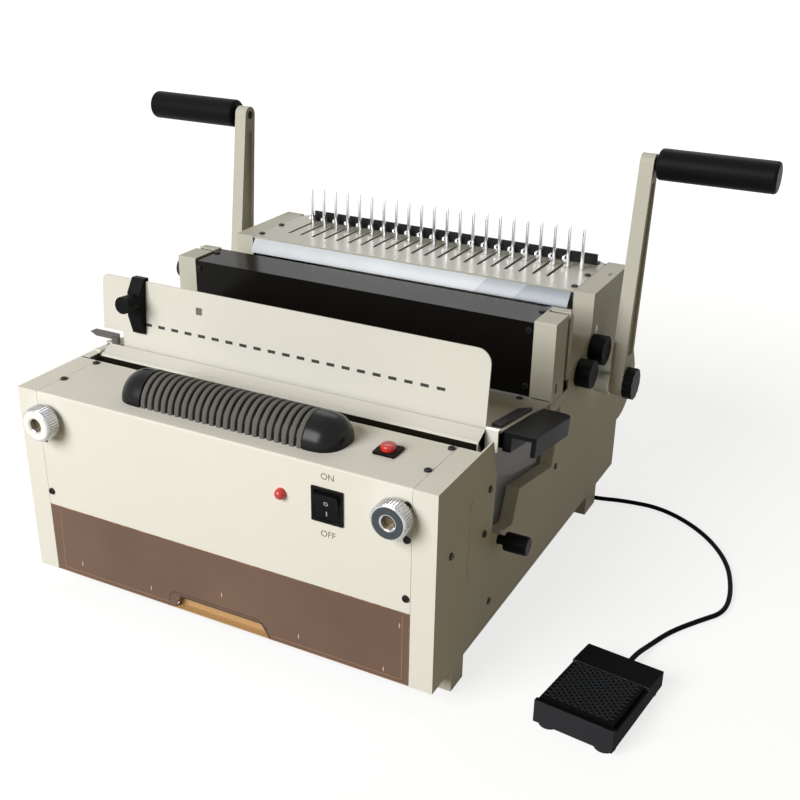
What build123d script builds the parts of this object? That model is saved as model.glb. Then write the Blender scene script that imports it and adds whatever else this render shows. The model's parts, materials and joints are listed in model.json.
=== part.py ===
from build123d import *
import os
from math import acos, asin, atan2, cos, degrees, hypot, pi, radians, sin, sqrt, tan

# All lengths in millimetres. X to the right, Y to the back, Z up from the floor.
# The sizes are set out from the middle of the machine's front face.

# Shared sizes
sheet = 1.5
thin_sheet = 1.2
frame_thick = 6.0
seam = 0.3
run_gap = 0.3
fit_gap = 0.05
overrun = 2.0

# Casing
base_width = 388.6
flange_width = 20.0
base_depth = 437.0
front_height = 193.4
front_depth = 76.0
drawer_top = 87.4
base_height = 21.4
side_top = 163.6
return_width = 11.5
lobe_setback = 5.0
lobe_z = 118.0
lobe_radius = 45.0
foot_front_y = 35.0
foot_front_length = 22.0
foot_rear_y = 355.0
foot_rear_length = 30.0
joggle_width = 26.0
bead_y = 62.0
bead_low = 83.0
bead_high = 159.0
bead_width = 9.0
bead_rise = 0.8

# Opening in the right side cover for the removable die
cutout_front = 97.5
cutout_length = 152.5
cutout_low = 95.0
cutout_shares = [
    (0.066, 0.64),
    (0.036, 0.152),
    (0.141, 0.061),
    (0.331, 0.0),
    (0.41, 0.285),
    (0.921, 0.132),
    (0.974, 0.396),
]

# Side frames
frame_setback = 11.5
frame_front = 92.0
frame_rear = 430.0
punch_horn_depth = 24.0
horn_drop = 7.0
comb_horn_front = 330.0
comb_horn_rear = 412.0

# Waste drawer
drawer_gap = 0.4
drawer_plate = 3.0
drawer_wall = 2.0
drawer_depth = 212.0
tray_margin = 5.6
tray_top = 78.0
notch_low_width = 95.0
notch_top_width = 80.0
notch_height = 12.3
pull_depth = 6.0
guide_height = 20.0

# Ribbed carrying handle
handle_left = -107.0
handle_right = 101.0
handle_radius = 23.0
handle_y = 38.0
handle_rib_count = 23
rib_width = 4.7
rib_depth = 2.2
handle_end_straight = 4.5

# Front controls
knob_x = 163.0
knob_z = 171.0
knob_radius = 15.0
knob_length = 13.0
knob_neck_radius = 6.5
knob_neck_length = 4.0
knob_flute_count = 36
knob_flute_radius = 0.9
knob_socket_radius = 5.5
knob_socket_depth = 6.0
knob_shaft_radius = 4.0
knob_shaft_length = 16.0
rocker_x = 104.5
rocker_z = 161.0
bezel_width = 27.0
bezel_height = 29.0
bezel_rise = 2.0
bezel_body_depth = 20.0
bezel_wall = 2.6
rocker_tilt = 9.0
rocker_depth = 9.0
lamp_x = 64.0
lamp_radius = 4.6
lamp_neck_radius = 3.4
lamp_depth = 12.0
button_x = 132.0
button_y = 43.0
button_base_size = 18.0
button_base_rise = 2.6
button_radius = 6.2
button_rise = 7.0
button_travel = 2.5
button_stem_radius = 2.6
button_well_depth = 14.0

# Screws
screw_head_radius = 3.1
screw_head_height = 1.6
screw_radius = 1.5
screw_reach = 4.5
front_screw_x = 170.4
front_screw_heights = [179.4, 150.8, 100.6]
top_screw_x = 171.2
top_screw_places = [30.0, 70.5]
side_screw_places = [(24.9, 130.6), (94.8, 153.5), (86.6, 117.7), (104.6, 44.5), (249.0, 103.6)]
deck_screw_x = 169.0
deck_screw_run = 104.0
punch_screw_x = 170.0
punch_screw_heights = [187.0, 238.0]
punch_top_screw_y = 253.0
comb_screw_x = 170.5
comb_screw_places = [333.0, 370.0]

# Deck over the die
deck_front = 111.0
deck_front_height = 196.2
deck_slope = 9.8
deck_rear = 222.7
deck_flange_front = 220.5
deck_flange_top = 173.4

# Paper slot and paper rest
slot_rear = 109.0
slot_width = 4.6
punch_line = 162.0
rest_fold = 199.0
rest_height = 60.8
rest_lean = 5.5
rest_left = -194.0
rest_right = 182.0
rest_step_height = 11.0
rest_corner = 12.0
rest_foot_depth = 12.0
strip_front = 90.0
strip_rise = 5.0
strip_nose = 4.0
strip_end = 184.0

# Punching die that slides out to the right
pitch = 14.2875
hole_count = 21
pin_width = 8.0
pin_height = 3.0
pin_setback = 1.0
die_setback = 0.5
die_height = 20.0
guide_block_depth = 40.0
die_half_width = 156.0
rail_width = 6.0
rail_depth = 95.5
retainer_depth = 10.0
retainer_height = 16.0
retainer_front = 207.0
punch_travel = 9.0
die_plate_depth = 12.0
die_plate_rise = 14.0
die_plate_drop = 12.0
bed_thick = 12.0
plate_thick = 3.0
plate_length = 109.0
plate_rear_low = 119.0
plate_height = 66.0
plate_shares = [(0.0, 0.545), (0.174, 0.424), (0.477, 0.212), (1.0, 0.0)]
plate_top_drop = 8.0

# Die handle
grip_inner = 196.0
grip_outer = 223.0
grip_run_start = 2.0
grip_run_end = 90.0
grip_top_thick = 4.0
grip_leg_thick = 7.0
grip_leg_drop = 16.0
grip_lip_thick = 4.0
grip_corner = 10.0
bridge_start = 18.0
bridge_end = 74.0
bridge_height = 10.0
bridge_drop = 19.0

# Punch beam, eccentric shaft and drive gears
beam_gap = 0.3
beam_depth = 18.0
beam_height = 20.0
beam_half_width = 172.0
lug_height = 10.0
lug_depth = 14.0
cam_radius = 14.5
cam_throw = 4.5
cam_clearance = 1.25
cam_x = 100.0
cam_width = 10.0
shaft_radius = 8.0
bush_wall = 4.0
gear_module = 1.5
gear_teeth = 32
pinion_teeth = 18
pinion_bearing = 60.0
gear_backlash = 0.25
gear_width = 5.0
gear_gap = 1.7
motor_shaft_radius = 5.0
gearbox_length = 42.0
gearbox_depth = 60.0
gearbox_height = 50.0
gearbox_rise = 19.0
motor_radius = 30.0
motor_length = 145.0
motor_setback = 10.0
motor_drop = 21.5
bracket_width = 80.0
bracket_depth = 36.0

# Punch housing
housing_front = 223.0
housing_rear = 266.0
housing_low = 178.0
housing_top = 245.5
block_top = 247.0
block_box_rear = 252.0
block_slot_rear = 258.0
block_wall_low = 173.8
block_front_low = 177.6
block_rear_low = 184.0
block_corner = 6.0
tab_width = 9.0
eye_slot_y = 233.0
eye_slot_z = 186.0
eye_slot_length = 10.0
eye_slot_width = 4.4
cap_y = 232.0
cap_z = 233.0
cap_radius = 10.0
cap_rise = 3.5

# Comb opening unit
comb_front = 321.0
comb_rear = 421.0
comb_rise = 92.5
comb_step_drop = 38.0
comb_start_rise = 10.0
comb_corner = 14.0
comb_slot_front = 349.0
comb_slot_rear = 402.0
comb_slot_width = 3.2
first_slot_x = -148.0
first_tine_x = -140.9
tine_count = 22
tine_y = 385.0
tine_rise = 41.0
tine_foot_width = 3.8
tine_width = 2.9
tine_thick = 2.6
tine_shoulder = 8.0
tine_foot_length = 11.0
hook_width = 2.2
hook_depth = 4.0
hook_setback = 1.5
hook_rise = 7.5
hook_lip = 5.0
hook_lip_height = 3.0
carriage_drop = 31.0
carriage_height = 8.0
carriage_depth = 10.0
carriage_half_width = 174.0
rail_rise = 8.0
rail_reach = 8.0
rail_front = 352.0
rack_x = 126.0
rack_width = 8.0
rack_module = 2.0
rack_teeth = 23
rack_length = 62.0
rack_back = 9.0
strip_height = 13.5
guard_rise = 11.0
guard_setback = 2.5
guard_depth = 10.0
guard_left = -150.0
guard_right = 168.0

# Lever arms
arm_axis_y = 353.9
arm_axis_z = 152.5
arm_lean = 6.3
arm_inner = 209.3
arm_thick = 13.0
arm_length = 212.5
arm_top_width = 17.0
arm_low_width = 27.0
arm_recess = 2.5
arm_recess_margin = 4.5
washer_radius = 14.0
grip_radius = 14.0
grip_length = 104.0
grip_gap = 3.0
grip_bolt_radius = 4.0
grip_round = 3.0
hub_radius = 15.0
hub_length = 9.5
hub_flute_count = 12
hub_flute_radius = 2.0

# Comb size knobs
size_knob_front = 26.9
size_knob_rise = 38.5
size_knob_pitch = 34.0
size_knob_drop = 11.5
size_knob_radius = 13.0
size_knob_large_radius = 13.8
size_knob_gap = 0.4
size_knob_spindle = 4.0
size_knob_collar = 7.0
size_knob_reach = 9.0

# Lock pin of the die
lock_y = 115.0
lock_z = 98.5
lock_radius = 4.0
lock_start = 178.0
lock_grip_start = 202.0
lock_grip_end = 222.0
lock_grip_radius = 8.0
lock_tab_width = 12.0
lock_tab_height = 14.0

# Margin guide on the paper rest
guide_x = -152.5
guide_width = 13.0
guide_foot = 13.5
guide_wall = 2.4
guide_hook_depth = 5.0
guide_reach = 9.0
guide_slope_low = 30.0
guide_slope_high = 51.0
guide_knob_rise = 43.0
guide_knob_radius = 7.6
guide_knob_length = 15.0
guide_spindle_radius = 2.5

# Small steel pieces at the slot's ends
bracket_front = 105.0
bracket_low = 180.0
bracket_top = 199.0
bracket_thick = 1.6
blade_tip = -207.0
blade_root = -174.0
blade_low = 202.0
blade_height = 6.5
blade_front = 105.6
ledge_left = -192.4
ledge_right = -130.0
ledge_front = 96.0
ledge_low = 189.6
ledge_thick = 3.0
bar_inner = 182.8
bar_outer = 191.0
bar_start = 8.0
bar_end = 77.0
bar_thick = 3.0
bar_skew = 14.0

# Mains inlet and control board
inlet_x = -120.0
inlet_z = 47.0
inlet_width = 28.0
inlet_height = 20.0
inlet_wall = 2.5
inlet_depth = 16.0
inlet_flange = 3.0
inlet_pin_length = 8.0
inlet_pin_width = 4.0
inlet_pin_thick = 2.0
inlet_pin_pitch = 7.0
board_x = 95.0
board_y = 290.0
board_width = 110.0
board_depth = 80.0
board_thick = 1.6
standoff_height = 10.0
standoff_radius = 3.0

# Foot pedal
pedal_x = 303.4
pedal_y = 73.0
pedal_turn = -6.4
pedal_width = 65.0
pedal_length = 96.0
pedal_rear_height = 18.0
pedal_slope = 5.0
pedal_skin = 2.5
pedal_floor = 4.0
pedal_housing_depth = 30.0
tread_length = 61.0
tread_thick = 8.0
tread_gap = 0.8
tread_groove_count = 15
tread_groove = 0.7
pedal_wall_drop = 5.0
pedal_pin_radius = 1.5
pedal_pin_setback = 4.0
pedal_pin_drop = 5.0
pedal_foot_radius = 8.5
pedal_foot_inset = 1.0

# Pedal cord, laid on the floor from the gland under the machine to the pedal
cord_radius = 2.2
cord_gland_radius = 5.0
cord_gland_length = 14.0
cord_exit_height = 7.0
pedal_gland_length = 6.0
pedal_gland_radius = 4.2
cord_approach = 16.0
cord_points = [
    (136.0, 372.5, 6.5),
    (165.0, 380.0, 6.5),
    (194.8, 389.6, 2.6),
    (222.0, 398.6, 2.5),
    (262.0, 402.0, 2.5),
    (308.0, 376.5, 2.5),
    (343.0, 333.3, 2.5),
    (358.6, 284.0, 2.5),
    (361.3, 246.0, 2.5),
    (345.0, 223.5, 2.5),
    (326.6, 194.6, 2.5),
    (316.2, 165.5, 2.8),
]

# Places that follow from the sizes above
half_width = base_width / 2
panel_half = half_width - flange_width - seam
cover_inner = half_width - sheet
frame_outer = half_width - frame_setback
frame_inner = frame_outer - frame_thick
tray_low = base_height + sheet
tray_high = tray_low + drawer_wall
slot_front = slot_rear - slot_width
die_front = slot_rear + die_setback
die_low = punch_line - die_height / 2
die_high = punch_line + die_height / 2
rest_foot = die_high + overrun
retainer_rear = retainer_front + retainer_depth
beam_front = retainer_rear + beam_gap
beam_rear = beam_front + beam_depth
cam_axis_y = beam_rear + cam_clearance + cam_radius - cam_throw
cam_axis_z = punch_line
gear_inner = frame_outer + gear_gap
gear_radius = gear_module * gear_teeth / 2
pinion_radius = gear_module * pinion_teeth / 2
centre_distance = gear_radius + pinion_radius
pinion_y = cam_axis_y + centre_distance * cos(radians(pinion_bearing))
pinion_z = cam_axis_z - centre_distance * sin(radians(pinion_bearing))
bush_radius = shaft_radius + bush_wall
rack_radius = rack_module * rack_teeth / 2
rack_line = arm_axis_z + rack_radius
hook_rear = comb_slot_rear - hook_setback
plate_start = frame_outer + run_gap
plate_end = plate_start + plate_thick
arm_outer = arm_inner + arm_thick
tray_width = 2 * (panel_half - tray_margin)
comb_height = arm_axis_z + comb_rise
comb_step_z = comb_height - comb_step_drop
comb_start_z = housing_low + comb_start_rise
carriage_low = comb_height - carriage_drop
upper_knob_y = arm_axis_y - size_knob_front
upper_knob_z = arm_axis_z + size_knob_rise
size_knob_places = {
    "size_knob_lower": (upper_knob_y - size_knob_pitch, upper_knob_z - size_knob_drop, size_knob_radius),
    "size_knob_upper": (upper_knob_y, upper_knob_z, size_knob_large_radius),
}
hood_top = comb_height - sheet
lobe_y = base_depth + lobe_setback
lobe_rear = lobe_y + lobe_radius
hood_share = (side_top - lobe_z) / (hood_top - lobe_z)
hood_break = lobe_rear + (comb_rear - lobe_rear) * hood_share
lobe_start_z = lobe_z - sqrt(lobe_radius ** 2 - lobe_setback ** 2)


def block(x_span, y_span, z_span):
    """Box between two places on each axis."""
    spans = (x_span, y_span, z_span)
    centre = [(low + high) / 2 for low, high in spans]
    return Pos(*centre) * Box(*[high - low for low, high in spans])


def both(half):
    """Span from minus to plus a half size."""
    return (-half, half)


def profile(outline, x_span):
    """Solid of a (y, z) outline of points between two places on X."""
    face = make_face(Polyline(*outline, close=True))
    return extrude(Plane.YZ.offset(x_span[0]) * face, x_span[1] - x_span[0])


def rod_x(y, z, radius, x_span):
    """Round bar along X."""
    return extrude(Plane.YZ.offset(x_span[0]) * Pos(y, z) * Circle(radius), x_span[1] - x_span[0])


def rod_y(x, z, radius, y_span):
    """Round bar along Y."""
    return extrude(Plane.XZ.offset(-y_span[1]) * Pos(x, z) * Circle(radius), y_span[1] - y_span[0])


def rod_z(x, y, radius, z_span):
    """Round bar along Z."""
    return extrude(Plane.XY.offset(z_span[0]) * Pos(x, y) * Circle(radius), z_span[1] - z_span[0])


def mirrored(solid):
    """The same piece on the machine's other side."""
    return mirror(solid, about=Plane.YZ)


def group(solids):
    """Separate solids that share one node."""
    return Compound([piece for solid in solids for piece in solid.solids()])


def on_deck(solid):
    """Place a solid drawn on the level on the deck's slope."""
    return Pos(0, deck_front, deck_front_height) * Rot(-deck_slope, 0, 0) * solid


def on_rest(solid):
    """Place a solid drawn upright on the leaning paper rest."""
    return Pos(0, slot_rear, rest_fold) * Rot(-rest_lean, 0, 0) * solid


def on_pedal(solid):
    """Place a solid drawn square to the axes where the pedal lies."""
    return Pos(pedal_x, pedal_y, 0) * Rot(0, 0, pedal_turn) * solid


def pedal_point(x, y, z):
    """A point given on the pedal's own axes."""
    return tuple((Pos(pedal_x, pedal_y, 0) * Rot(0, 0, pedal_turn) * Pos(x, y, z)).position)


def deck_under(y):
    """Height of the deck's underside."""
    return deck_front_height - (y - deck_front) * tan(radians(deck_slope)) - sheet / cos(radians(deck_slope))


def row(first, step, count):
    """Evenly spaced places."""
    return [first + step * index for index in range(count)]


def hole_places():
    """The punch pins' places, centred on the machine."""
    return row(-pitch * (hole_count - 1) / 2, pitch, hole_count)


def involute_angle(pressure):
    """Involute function of a pressure angle."""
    return tan(pressure) - pressure


def gear_outline(module, teeth, turn):
    """Points of a spur gear with 20 degree teeth, its first tooth at the given angle."""
    pressure = radians(20)
    pitch_radius = module * teeth / 2
    base_radius = pitch_radius * cos(pressure)
    tip_radius = pitch_radius + module
    root_radius = pitch_radius - 1.25 * module
    half_tooth = pi / (2 * teeth) - gear_backlash / (4 * pitch_radius) + involute_angle(pressure)
    flank = []
    for share in (0, 0.25, 0.5, 0.75, 1):
        radius = max(base_radius, root_radius) + (tip_radius - max(base_radius, root_radius)) * share
        flank.append((radius, half_tooth - involute_angle(acos(min(1, base_radius / radius)))))
    points = []
    for index in range(teeth):
        middle = turn + 2 * pi * index / teeth
        rising = [(root_radius, -flank[0][1])] + [(radius, -angle) for radius, angle in flank]
        falling = [(radius, angle) for radius, angle in reversed(flank)] + [(root_radius, flank[0][1])]
        for radius, angle in rising + falling:
            points.append((radius * cos(middle + angle), radius * sin(middle + angle)))
    return points


def gear(module, teeth, turn, place, x_span, bore):
    """Spur gear on an axis along X."""
    y, z = place
    points = [(y + across, z + up) for across, up in gear_outline(module, teeth, turn)]
    return profile(points, x_span) - rod_x(y, z, bore, (x_span[0] - overrun, x_span[1] + overrun))


def screw_on(face_point, direction):
    """Pan head screw seated on a face, its shank going in against the direction."""
    plane = Plane(origin=face_point, z_dir=direction)
    head = extrude(plane * Circle(screw_head_radius), screw_head_height)
    shank = extrude(plane * Circle(screw_radius), -screw_reach)
    return head + shank


def screw_hole(face_point, direction):
    """Hole for a screw's shank, through whatever lies at the face."""
    plane = Plane(origin=face_point, z_dir=direction)
    return extrude(plane.offset(-screw_reach) * Circle(screw_radius + fit_gap), screw_reach + overrun)


def front_screws():
    """Places of the screws in the front panel."""
    return [((side * front_screw_x, 0, z), (0, -1, 0)) for side in (-1, 1) for z in front_screw_heights]


def top_screws():
    """Places of the screws in the front section's top."""
    return [((side * top_screw_x, y, front_height), (0, 0, 1)) for side in (-1, 1) for y in top_screw_places]


def side_screws(side):
    """Places of the screws in one side cover."""
    return [((side * half_width, y, z), (side, 0, 0)) for y, z in side_screw_places]


def deck_screws():
    """Places of the two screws near the deck's rear edge."""
    slope = radians(deck_slope)
    y = deck_front + deck_screw_run * cos(slope)
    z = deck_front_height - deck_screw_run * sin(slope)
    return [((side * deck_screw_x, y, z), (0, sin(slope), cos(slope))) for side in (-1, 1)]


def punch_screws():
    """Places of the screws in the punch housing's cover."""
    fronts = [((side * punch_screw_x, housing_front, z), (0, -1, 0)) for side in (-1, 1) for z in punch_screw_heights]
    tops = [((side * punch_screw_x, punch_top_screw_y, housing_top), (0, 0, 1)) for side in (-1, 1)]
    return fronts + tops


def comb_screws():
    """Places of the screws in the comb plate."""
    return [((side * comb_screw_x, y, comb_height), (0, 0, 1)) for side in (-1, 1) for y in comb_screw_places]


def drilled(solid, places):
    """The solid with a hole for each screw."""
    for face_point, direction in places:
        solid -= screw_hole(face_point, direction)
    return solid


# Casing

def cutout_outline(top):
    """Outline of the opening for the die in the right side cover, open at its top."""
    height = front_height - cutout_low
    points = [(cutout_front, top), (cutout_front, front_height)]
    points += [(cutout_front + cutout_length * along, cutout_low + height * up) for along, up in cutout_shares]
    return points + [(cutout_front + cutout_length, side_top), (cutout_front + cutout_length, top)]


def side_outline():
    """Face of a side cover, without its feet, as seen from the side."""
    edges = Polyline(
        (lobe_rear, lobe_z),
        (hood_break, side_top),
        (deck_flange_front - fit_gap, side_top),
        (deck_flange_front - fit_gap, deck_under(deck_flange_front)),
        (deck_front, deck_under(deck_front)),
        (deck_front, front_height),
        (0, front_height),
        (0, base_height),
        (base_depth, base_height),
        (base_depth, lobe_start_z),
    )
    middle = (lobe_y + lobe_radius * cos(pi / 4), lobe_z - lobe_radius * sin(pi / 4))
    lobe = ThreePointArc((base_depth, lobe_start_z), middle, (lobe_rear, lobe_z))
    return make_face([*edges.edges(), lobe])


def foot(y, length):
    """Foot tab of a side cover with its bent front."""
    tab = block((cover_inner, half_width), (y, y + length), (0, base_height + sheet))
    return tab + block((half_width - flange_width, half_width), (y, y + sheet), (0, base_height + sheet))


def side_cover(side):
    """Bent steel side of the casing with its feet, drawn on the right."""
    cover = extrude(Plane.YZ.offset(cover_inner) * side_outline(), sheet)
    cover += block((half_width - flange_width, half_width), (0, sheet), (base_height, front_height))
    cover += block((half_width - flange_width, half_width), (0, front_depth), (front_height - sheet, front_height))
    joggle = (half_width - joggle_width, cover_inner)
    cover += block(joggle, (sheet, 2 * sheet), (drawer_top + sheet, front_height - sheet))
    cover += block(joggle, (sheet, front_depth), (front_height - 2 * sheet, front_height - sheet))
    cover += block((half_width - return_width, half_width), (0, base_depth), (base_height, base_height + sheet))
    cover += foot(foot_front_y, foot_front_length) + foot(foot_rear_y, foot_rear_length)
    bead = extrude(
        Plane.YZ.offset(half_width) * Pos(bead_y, (bead_low + bead_high) / 2)
        * Rot(0, 0, 90) * SlotOverall(bead_high - bead_low, bead_width), bead_rise)
    cover += bead
    through = (frame_outer, half_width + overrun)
    cover -= rod_x(arm_axis_y, arm_axis_z, shaft_radius + run_gap, through)
    if side > 0:
        opening = make_face(Polyline(*cutout_outline(front_height + overrun), close=True))
        rim = offset(opening, sheet, kind=Kind.INTERSECTION)
        rim = extrude(Plane.YZ.offset(frame_outer + fit_gap) * rim, cover_inner - frame_outer)
        rim &= block(through, (front_depth, base_depth), (0, side_top))
        cover += rim
        cover -= extrude(Plane.YZ.offset(frame_outer - overrun) * opening, flange_width)
        cover -= rod_x(lock_y, lock_z, lock_radius + run_gap, through)
    cover = drilled(cover, [place for place in side_screws(1)])
    cover = drilled(cover, [place for place in front_screws() + top_screws() if place[0][0] > 0])
    return cover if side > 0 else mirrored(cover)


def front_cover():
    """Front panel and front top, bent from one sheet."""
    x_span = both(panel_half)
    cover = block(x_span, (0, sheet), (drawer_top + seam, front_height))
    cover += block(x_span, (0, front_depth), (front_height - sheet, front_height))
    cover += block(both(half_width - joggle_width - seam), (front_depth - sheet, front_depth),
                   (housing_low, front_height))
    cover = fillet(cover.edges().filter_by(Axis.X).filter_by_position(Axis.Y, -fit_gap, fit_gap).sort_by(Axis.Z)[-1],
                   sheet)
    body = (bezel_width - bezel_wall, bezel_height - bezel_wall)
    cover -= Pos(rocker_x, sheet / 2, rocker_z) * Box(body[0], 2 * sheet, body[1])
    cover -= rod_y(lamp_x, rocker_z, lamp_neck_radius, (-overrun, 2 * sheet))
    for side in (-1, 1):
        cover -= rod_y(side * knob_x, knob_z, knob_shaft_radius + fit_gap, (-overrun, 2 * sheet))
    well = button_base_size - bezel_wall
    cover -= Pos(button_x, button_y, front_height) * Box(well, well, 3 * sheet)
    return drilled(cover, front_screws() + top_screws())


def base_tray():
    """Floor of the machine with the drawer's guides and the motor's saddle welded on."""
    tray = block(both(cover_inner - seam), (drawer_plate + sheet, base_depth - sheet - seam), (tray_low, tray_high))
    finger = notch_low_width / 2 + overrun
    tray -= block(both(finger), (0, drawer_plate + pull_depth + 2 * overrun), (0, tray_high + overrun))
    guide_inner = tray_width / 2 + 2 * drawer_gap
    for side in (-1, 1):
        x_span = sorted((side * guide_inner, side * (guide_inner + drawer_wall)))
        tray += block(x_span, (flange_width, drawer_depth), (tray_high, tray_high + guide_height))
    motor_y, motor_z = motor_place()
    middle = motor_middle()
    saddle = block((middle - bracket_width / 2, middle + bracket_width / 2),
                   (motor_y - bracket_depth / 2, motor_y + bracket_depth / 2), (tray_high, motor_z))
    saddle -= block((middle - bracket_width / 2 + drawer_plate, middle + bracket_width / 2 - drawer_plate),
                    both(base_depth), (tray_high, motor_z - motor_radius - drawer_plate))
    tray += saddle - rod_x(motor_y, motor_z, motor_radius, both(half_width))
    gland_x, gland_y = gland_place()
    return tray - rod_z(gland_x, gland_y, cord_radius + sheet, (0, tray_high + overrun))


def frame_outline(top_front):
    """Side frame's outline, with the horns that carry the punch housing and the comb plate."""
    step = die_plate_depth / 2
    return [
        (frame_front, tray_high),
        (frame_front, top_front),
        (slot_front - sheet, top_front),
        (slot_front - sheet, rest_foot),
        (slot_rear + rest_foot_depth + sheet, rest_foot),
        (slot_rear + rest_foot_depth + sheet + step, deck_under(slot_rear + rest_foot_depth + sheet + step)),
        (deck_rear, deck_under(deck_rear)),
        (deck_rear, side_top + seam),
        (housing_front + 2 * sheet, side_top + seam),
        (housing_front + 2 * sheet, housing_top - horn_drop),
        (housing_front + 2 * sheet + punch_horn_depth, housing_top - horn_drop),
        (housing_front + 2 * sheet + punch_horn_depth, housing_low),
        (block_slot_rear, housing_low),
        (block_slot_rear, side_top + seam),
        (comb_horn_front, side_top + seam),
        (comb_horn_front, hood_top),
        (comb_horn_rear, hood_top),
        (frame_rear, side_top + seam),
        (frame_rear, tray_high),
    ]


def side_frames():
    """Two steel plates that carry the shafts, the die bed and the comb plate's rails."""
    top_front = ledge_low - seam
    cut = (frame_inner - overrun, frame_outer + overrun)
    right = profile(frame_outline(top_front), (frame_inner, frame_outer))
    right -= rod_x(cam_axis_y, cam_axis_z, bush_radius, cut)
    right -= rod_x(arm_axis_y, arm_axis_z, bush_radius, cut)
    lug_rear = beam_front + lug_depth + run_gap
    lug_front = beam_front - punch_travel - run_gap
    right -= block(cut, (lug_front, lug_rear), (punch_line - lug_height / 2 - fit_gap,
                                                punch_line + lug_height / 2 + fit_gap))
    right -= rod_x(lock_y, lock_z, lock_radius + fit_gap, cut)
    rail = block((frame_inner - rail_reach, frame_inner), (rail_front, frame_rear),
                 (carriage_low - run_gap - rail_rise, carriage_low - run_gap))
    left = mirrored(right + rail)
    left -= rod_x(pinion_y, pinion_z, motor_shaft_radius + run_gap, (-frame_outer - overrun, -frame_inner + overrun))
    right += rail
    right -= block(cut, (die_front - run_gap, retainer_rear + run_gap),
                   (die_low - run_gap, die_high + run_gap))
    return group([left, right])


def rear_cover():
    """The rear cover as a strip of even thickness along the machine's back."""
    outer = [(base_depth, tray_high), (base_depth, lobe_start_z)]
    radius = lobe_radius - sheet
    inner_rear = base_depth - sheet
    inner_start = lobe_z - sqrt(radius ** 2 - (inner_rear - lobe_y) ** 2)
    half = pi / 4
    slope = sheet / sin(atan2(hood_top - lobe_z, lobe_rear - comb_rear))
    top = hood_top - seam
    lobe_out = ThreePointArc((base_depth, lobe_start_z),
                             (lobe_y + lobe_radius * cos(half), lobe_z - lobe_radius * sin(half)),
                             (lobe_rear, lobe_z))
    lobe_in = ThreePointArc((inner_rear, inner_start),
                            (lobe_y + radius * cos(half), lobe_z - radius * sin(half)),
                            (lobe_rear - sheet, lobe_z))
    straight = Polyline((lobe_rear, lobe_z), (comb_rear, top), (comb_rear - slope, top), (lobe_rear - sheet, lobe_z))
    low = Polyline((inner_rear, inner_start), (inner_rear, tray_high), *outer)
    face = make_face([lobe_out, *straight.edges(), lobe_in, *low.edges()])
    cover = extrude(Plane.YZ.offset(-cover_inner + seam) * face, 2 * (cover_inner - seam))
    for side in (-1, 1):
        x_span = sorted((side * panel_half, side * half_width))
        cover -= block(x_span, (frame_rear - flange_width, lobe_rear + overrun), (side_top - seam, comb_height))
    body = (inlet_width + 2 * seam, inlet_height + 2 * seam)
    return cover - Pos(inlet_x, base_depth, inlet_z) * Box(body[0], 4 * sheet, body[1])


def deck_cover():
    """Sloping sheet over the die, with side flanges under the punch housing."""
    length = (deck_rear - deck_front) / cos(radians(deck_slope))
    cover = on_deck(block(both(half_width), (0, length), (-sheet, 0)))
    flange = [
        (deck_flange_front, side_top),
        (housing_rear, side_top),
        (housing_rear, deck_flange_top),
        (deck_rear, deck_flange_top),
        (deck_rear, deck_under(deck_rear) + sheet / 2),
        (deck_flange_front, deck_under(deck_flange_front) + sheet / 2),
    ]
    right = profile(flange, (cover_inner, half_width))
    return drilled(cover + right + mirrored(right), deck_screws())


def middle_cover():
    """Sheet between the punch housing and the comb unit."""
    x_span = both(panel_half)
    front = housing_rear + seam
    outline = [(front, comb_start_z), (comb_front, comb_step_z), (comb_front, comb_step_z - sheet),
               (front + sheet, comb_start_z - sheet), (front + sheet, block_front_low), (front, block_front_low)]
    return profile(outline, x_span)


# Small parts of the casing

def screws():
    """Every screw head that shows, each with its shank."""
    places = front_screws() + top_screws() + side_screws(1) + side_screws(-1)
    places += deck_screws() + punch_screws() + comb_screws()
    return group([screw_on(face_point, direction) for face_point, direction in places])


def half_round(radius, x_span):
    """Half of a round bar lying on the front section's top."""
    return rod_x(handle_y, front_height, radius, x_span) - below_handle()


def below_handle():
    """Space under the handle's flat side."""
    return block((handle_left - overrun, handle_right + overrun), (-handle_radius, front_depth + handle_radius),
                 (front_height - 2 * handle_radius, front_height))


def carry_handle():
    """Half-round handle with domed ends and a core of smaller radius under the ribs."""
    left = handle_left + handle_radius
    right = handle_right - handle_radius
    handle = half_round(handle_radius - rib_depth, (left, right))
    for dome_x, inward in ((left, 1), (right, -1)):
        dome = Pos(dome_x, handle_y, front_height) * Sphere(handle_radius)
        inner = block(sorted((dome_x, dome_x + inward * 2 * handle_radius)),
                      (-handle_radius, front_depth + handle_radius), (0, front_height + 2 * handle_radius))
        handle += dome - below_handle() - inner
        handle += half_round(handle_radius, sorted((dome_x, dome_x + inward * handle_end_straight)))
    return handle


def handle_ribs():
    """Soft rings over the handle's core."""
    first = handle_left + handle_radius + handle_end_straight
    last = handle_right - handle_radius - handle_end_straight
    step = (last - first) / handle_rib_count
    ribs = []
    for start in row(first + (step - rib_width) / 2, step, handle_rib_count):
        x_span = (start, start + rib_width)
        ribs.append(half_round(handle_radius, x_span) - half_round(handle_radius - rib_depth, x_span))
    return group(ribs)


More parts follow.
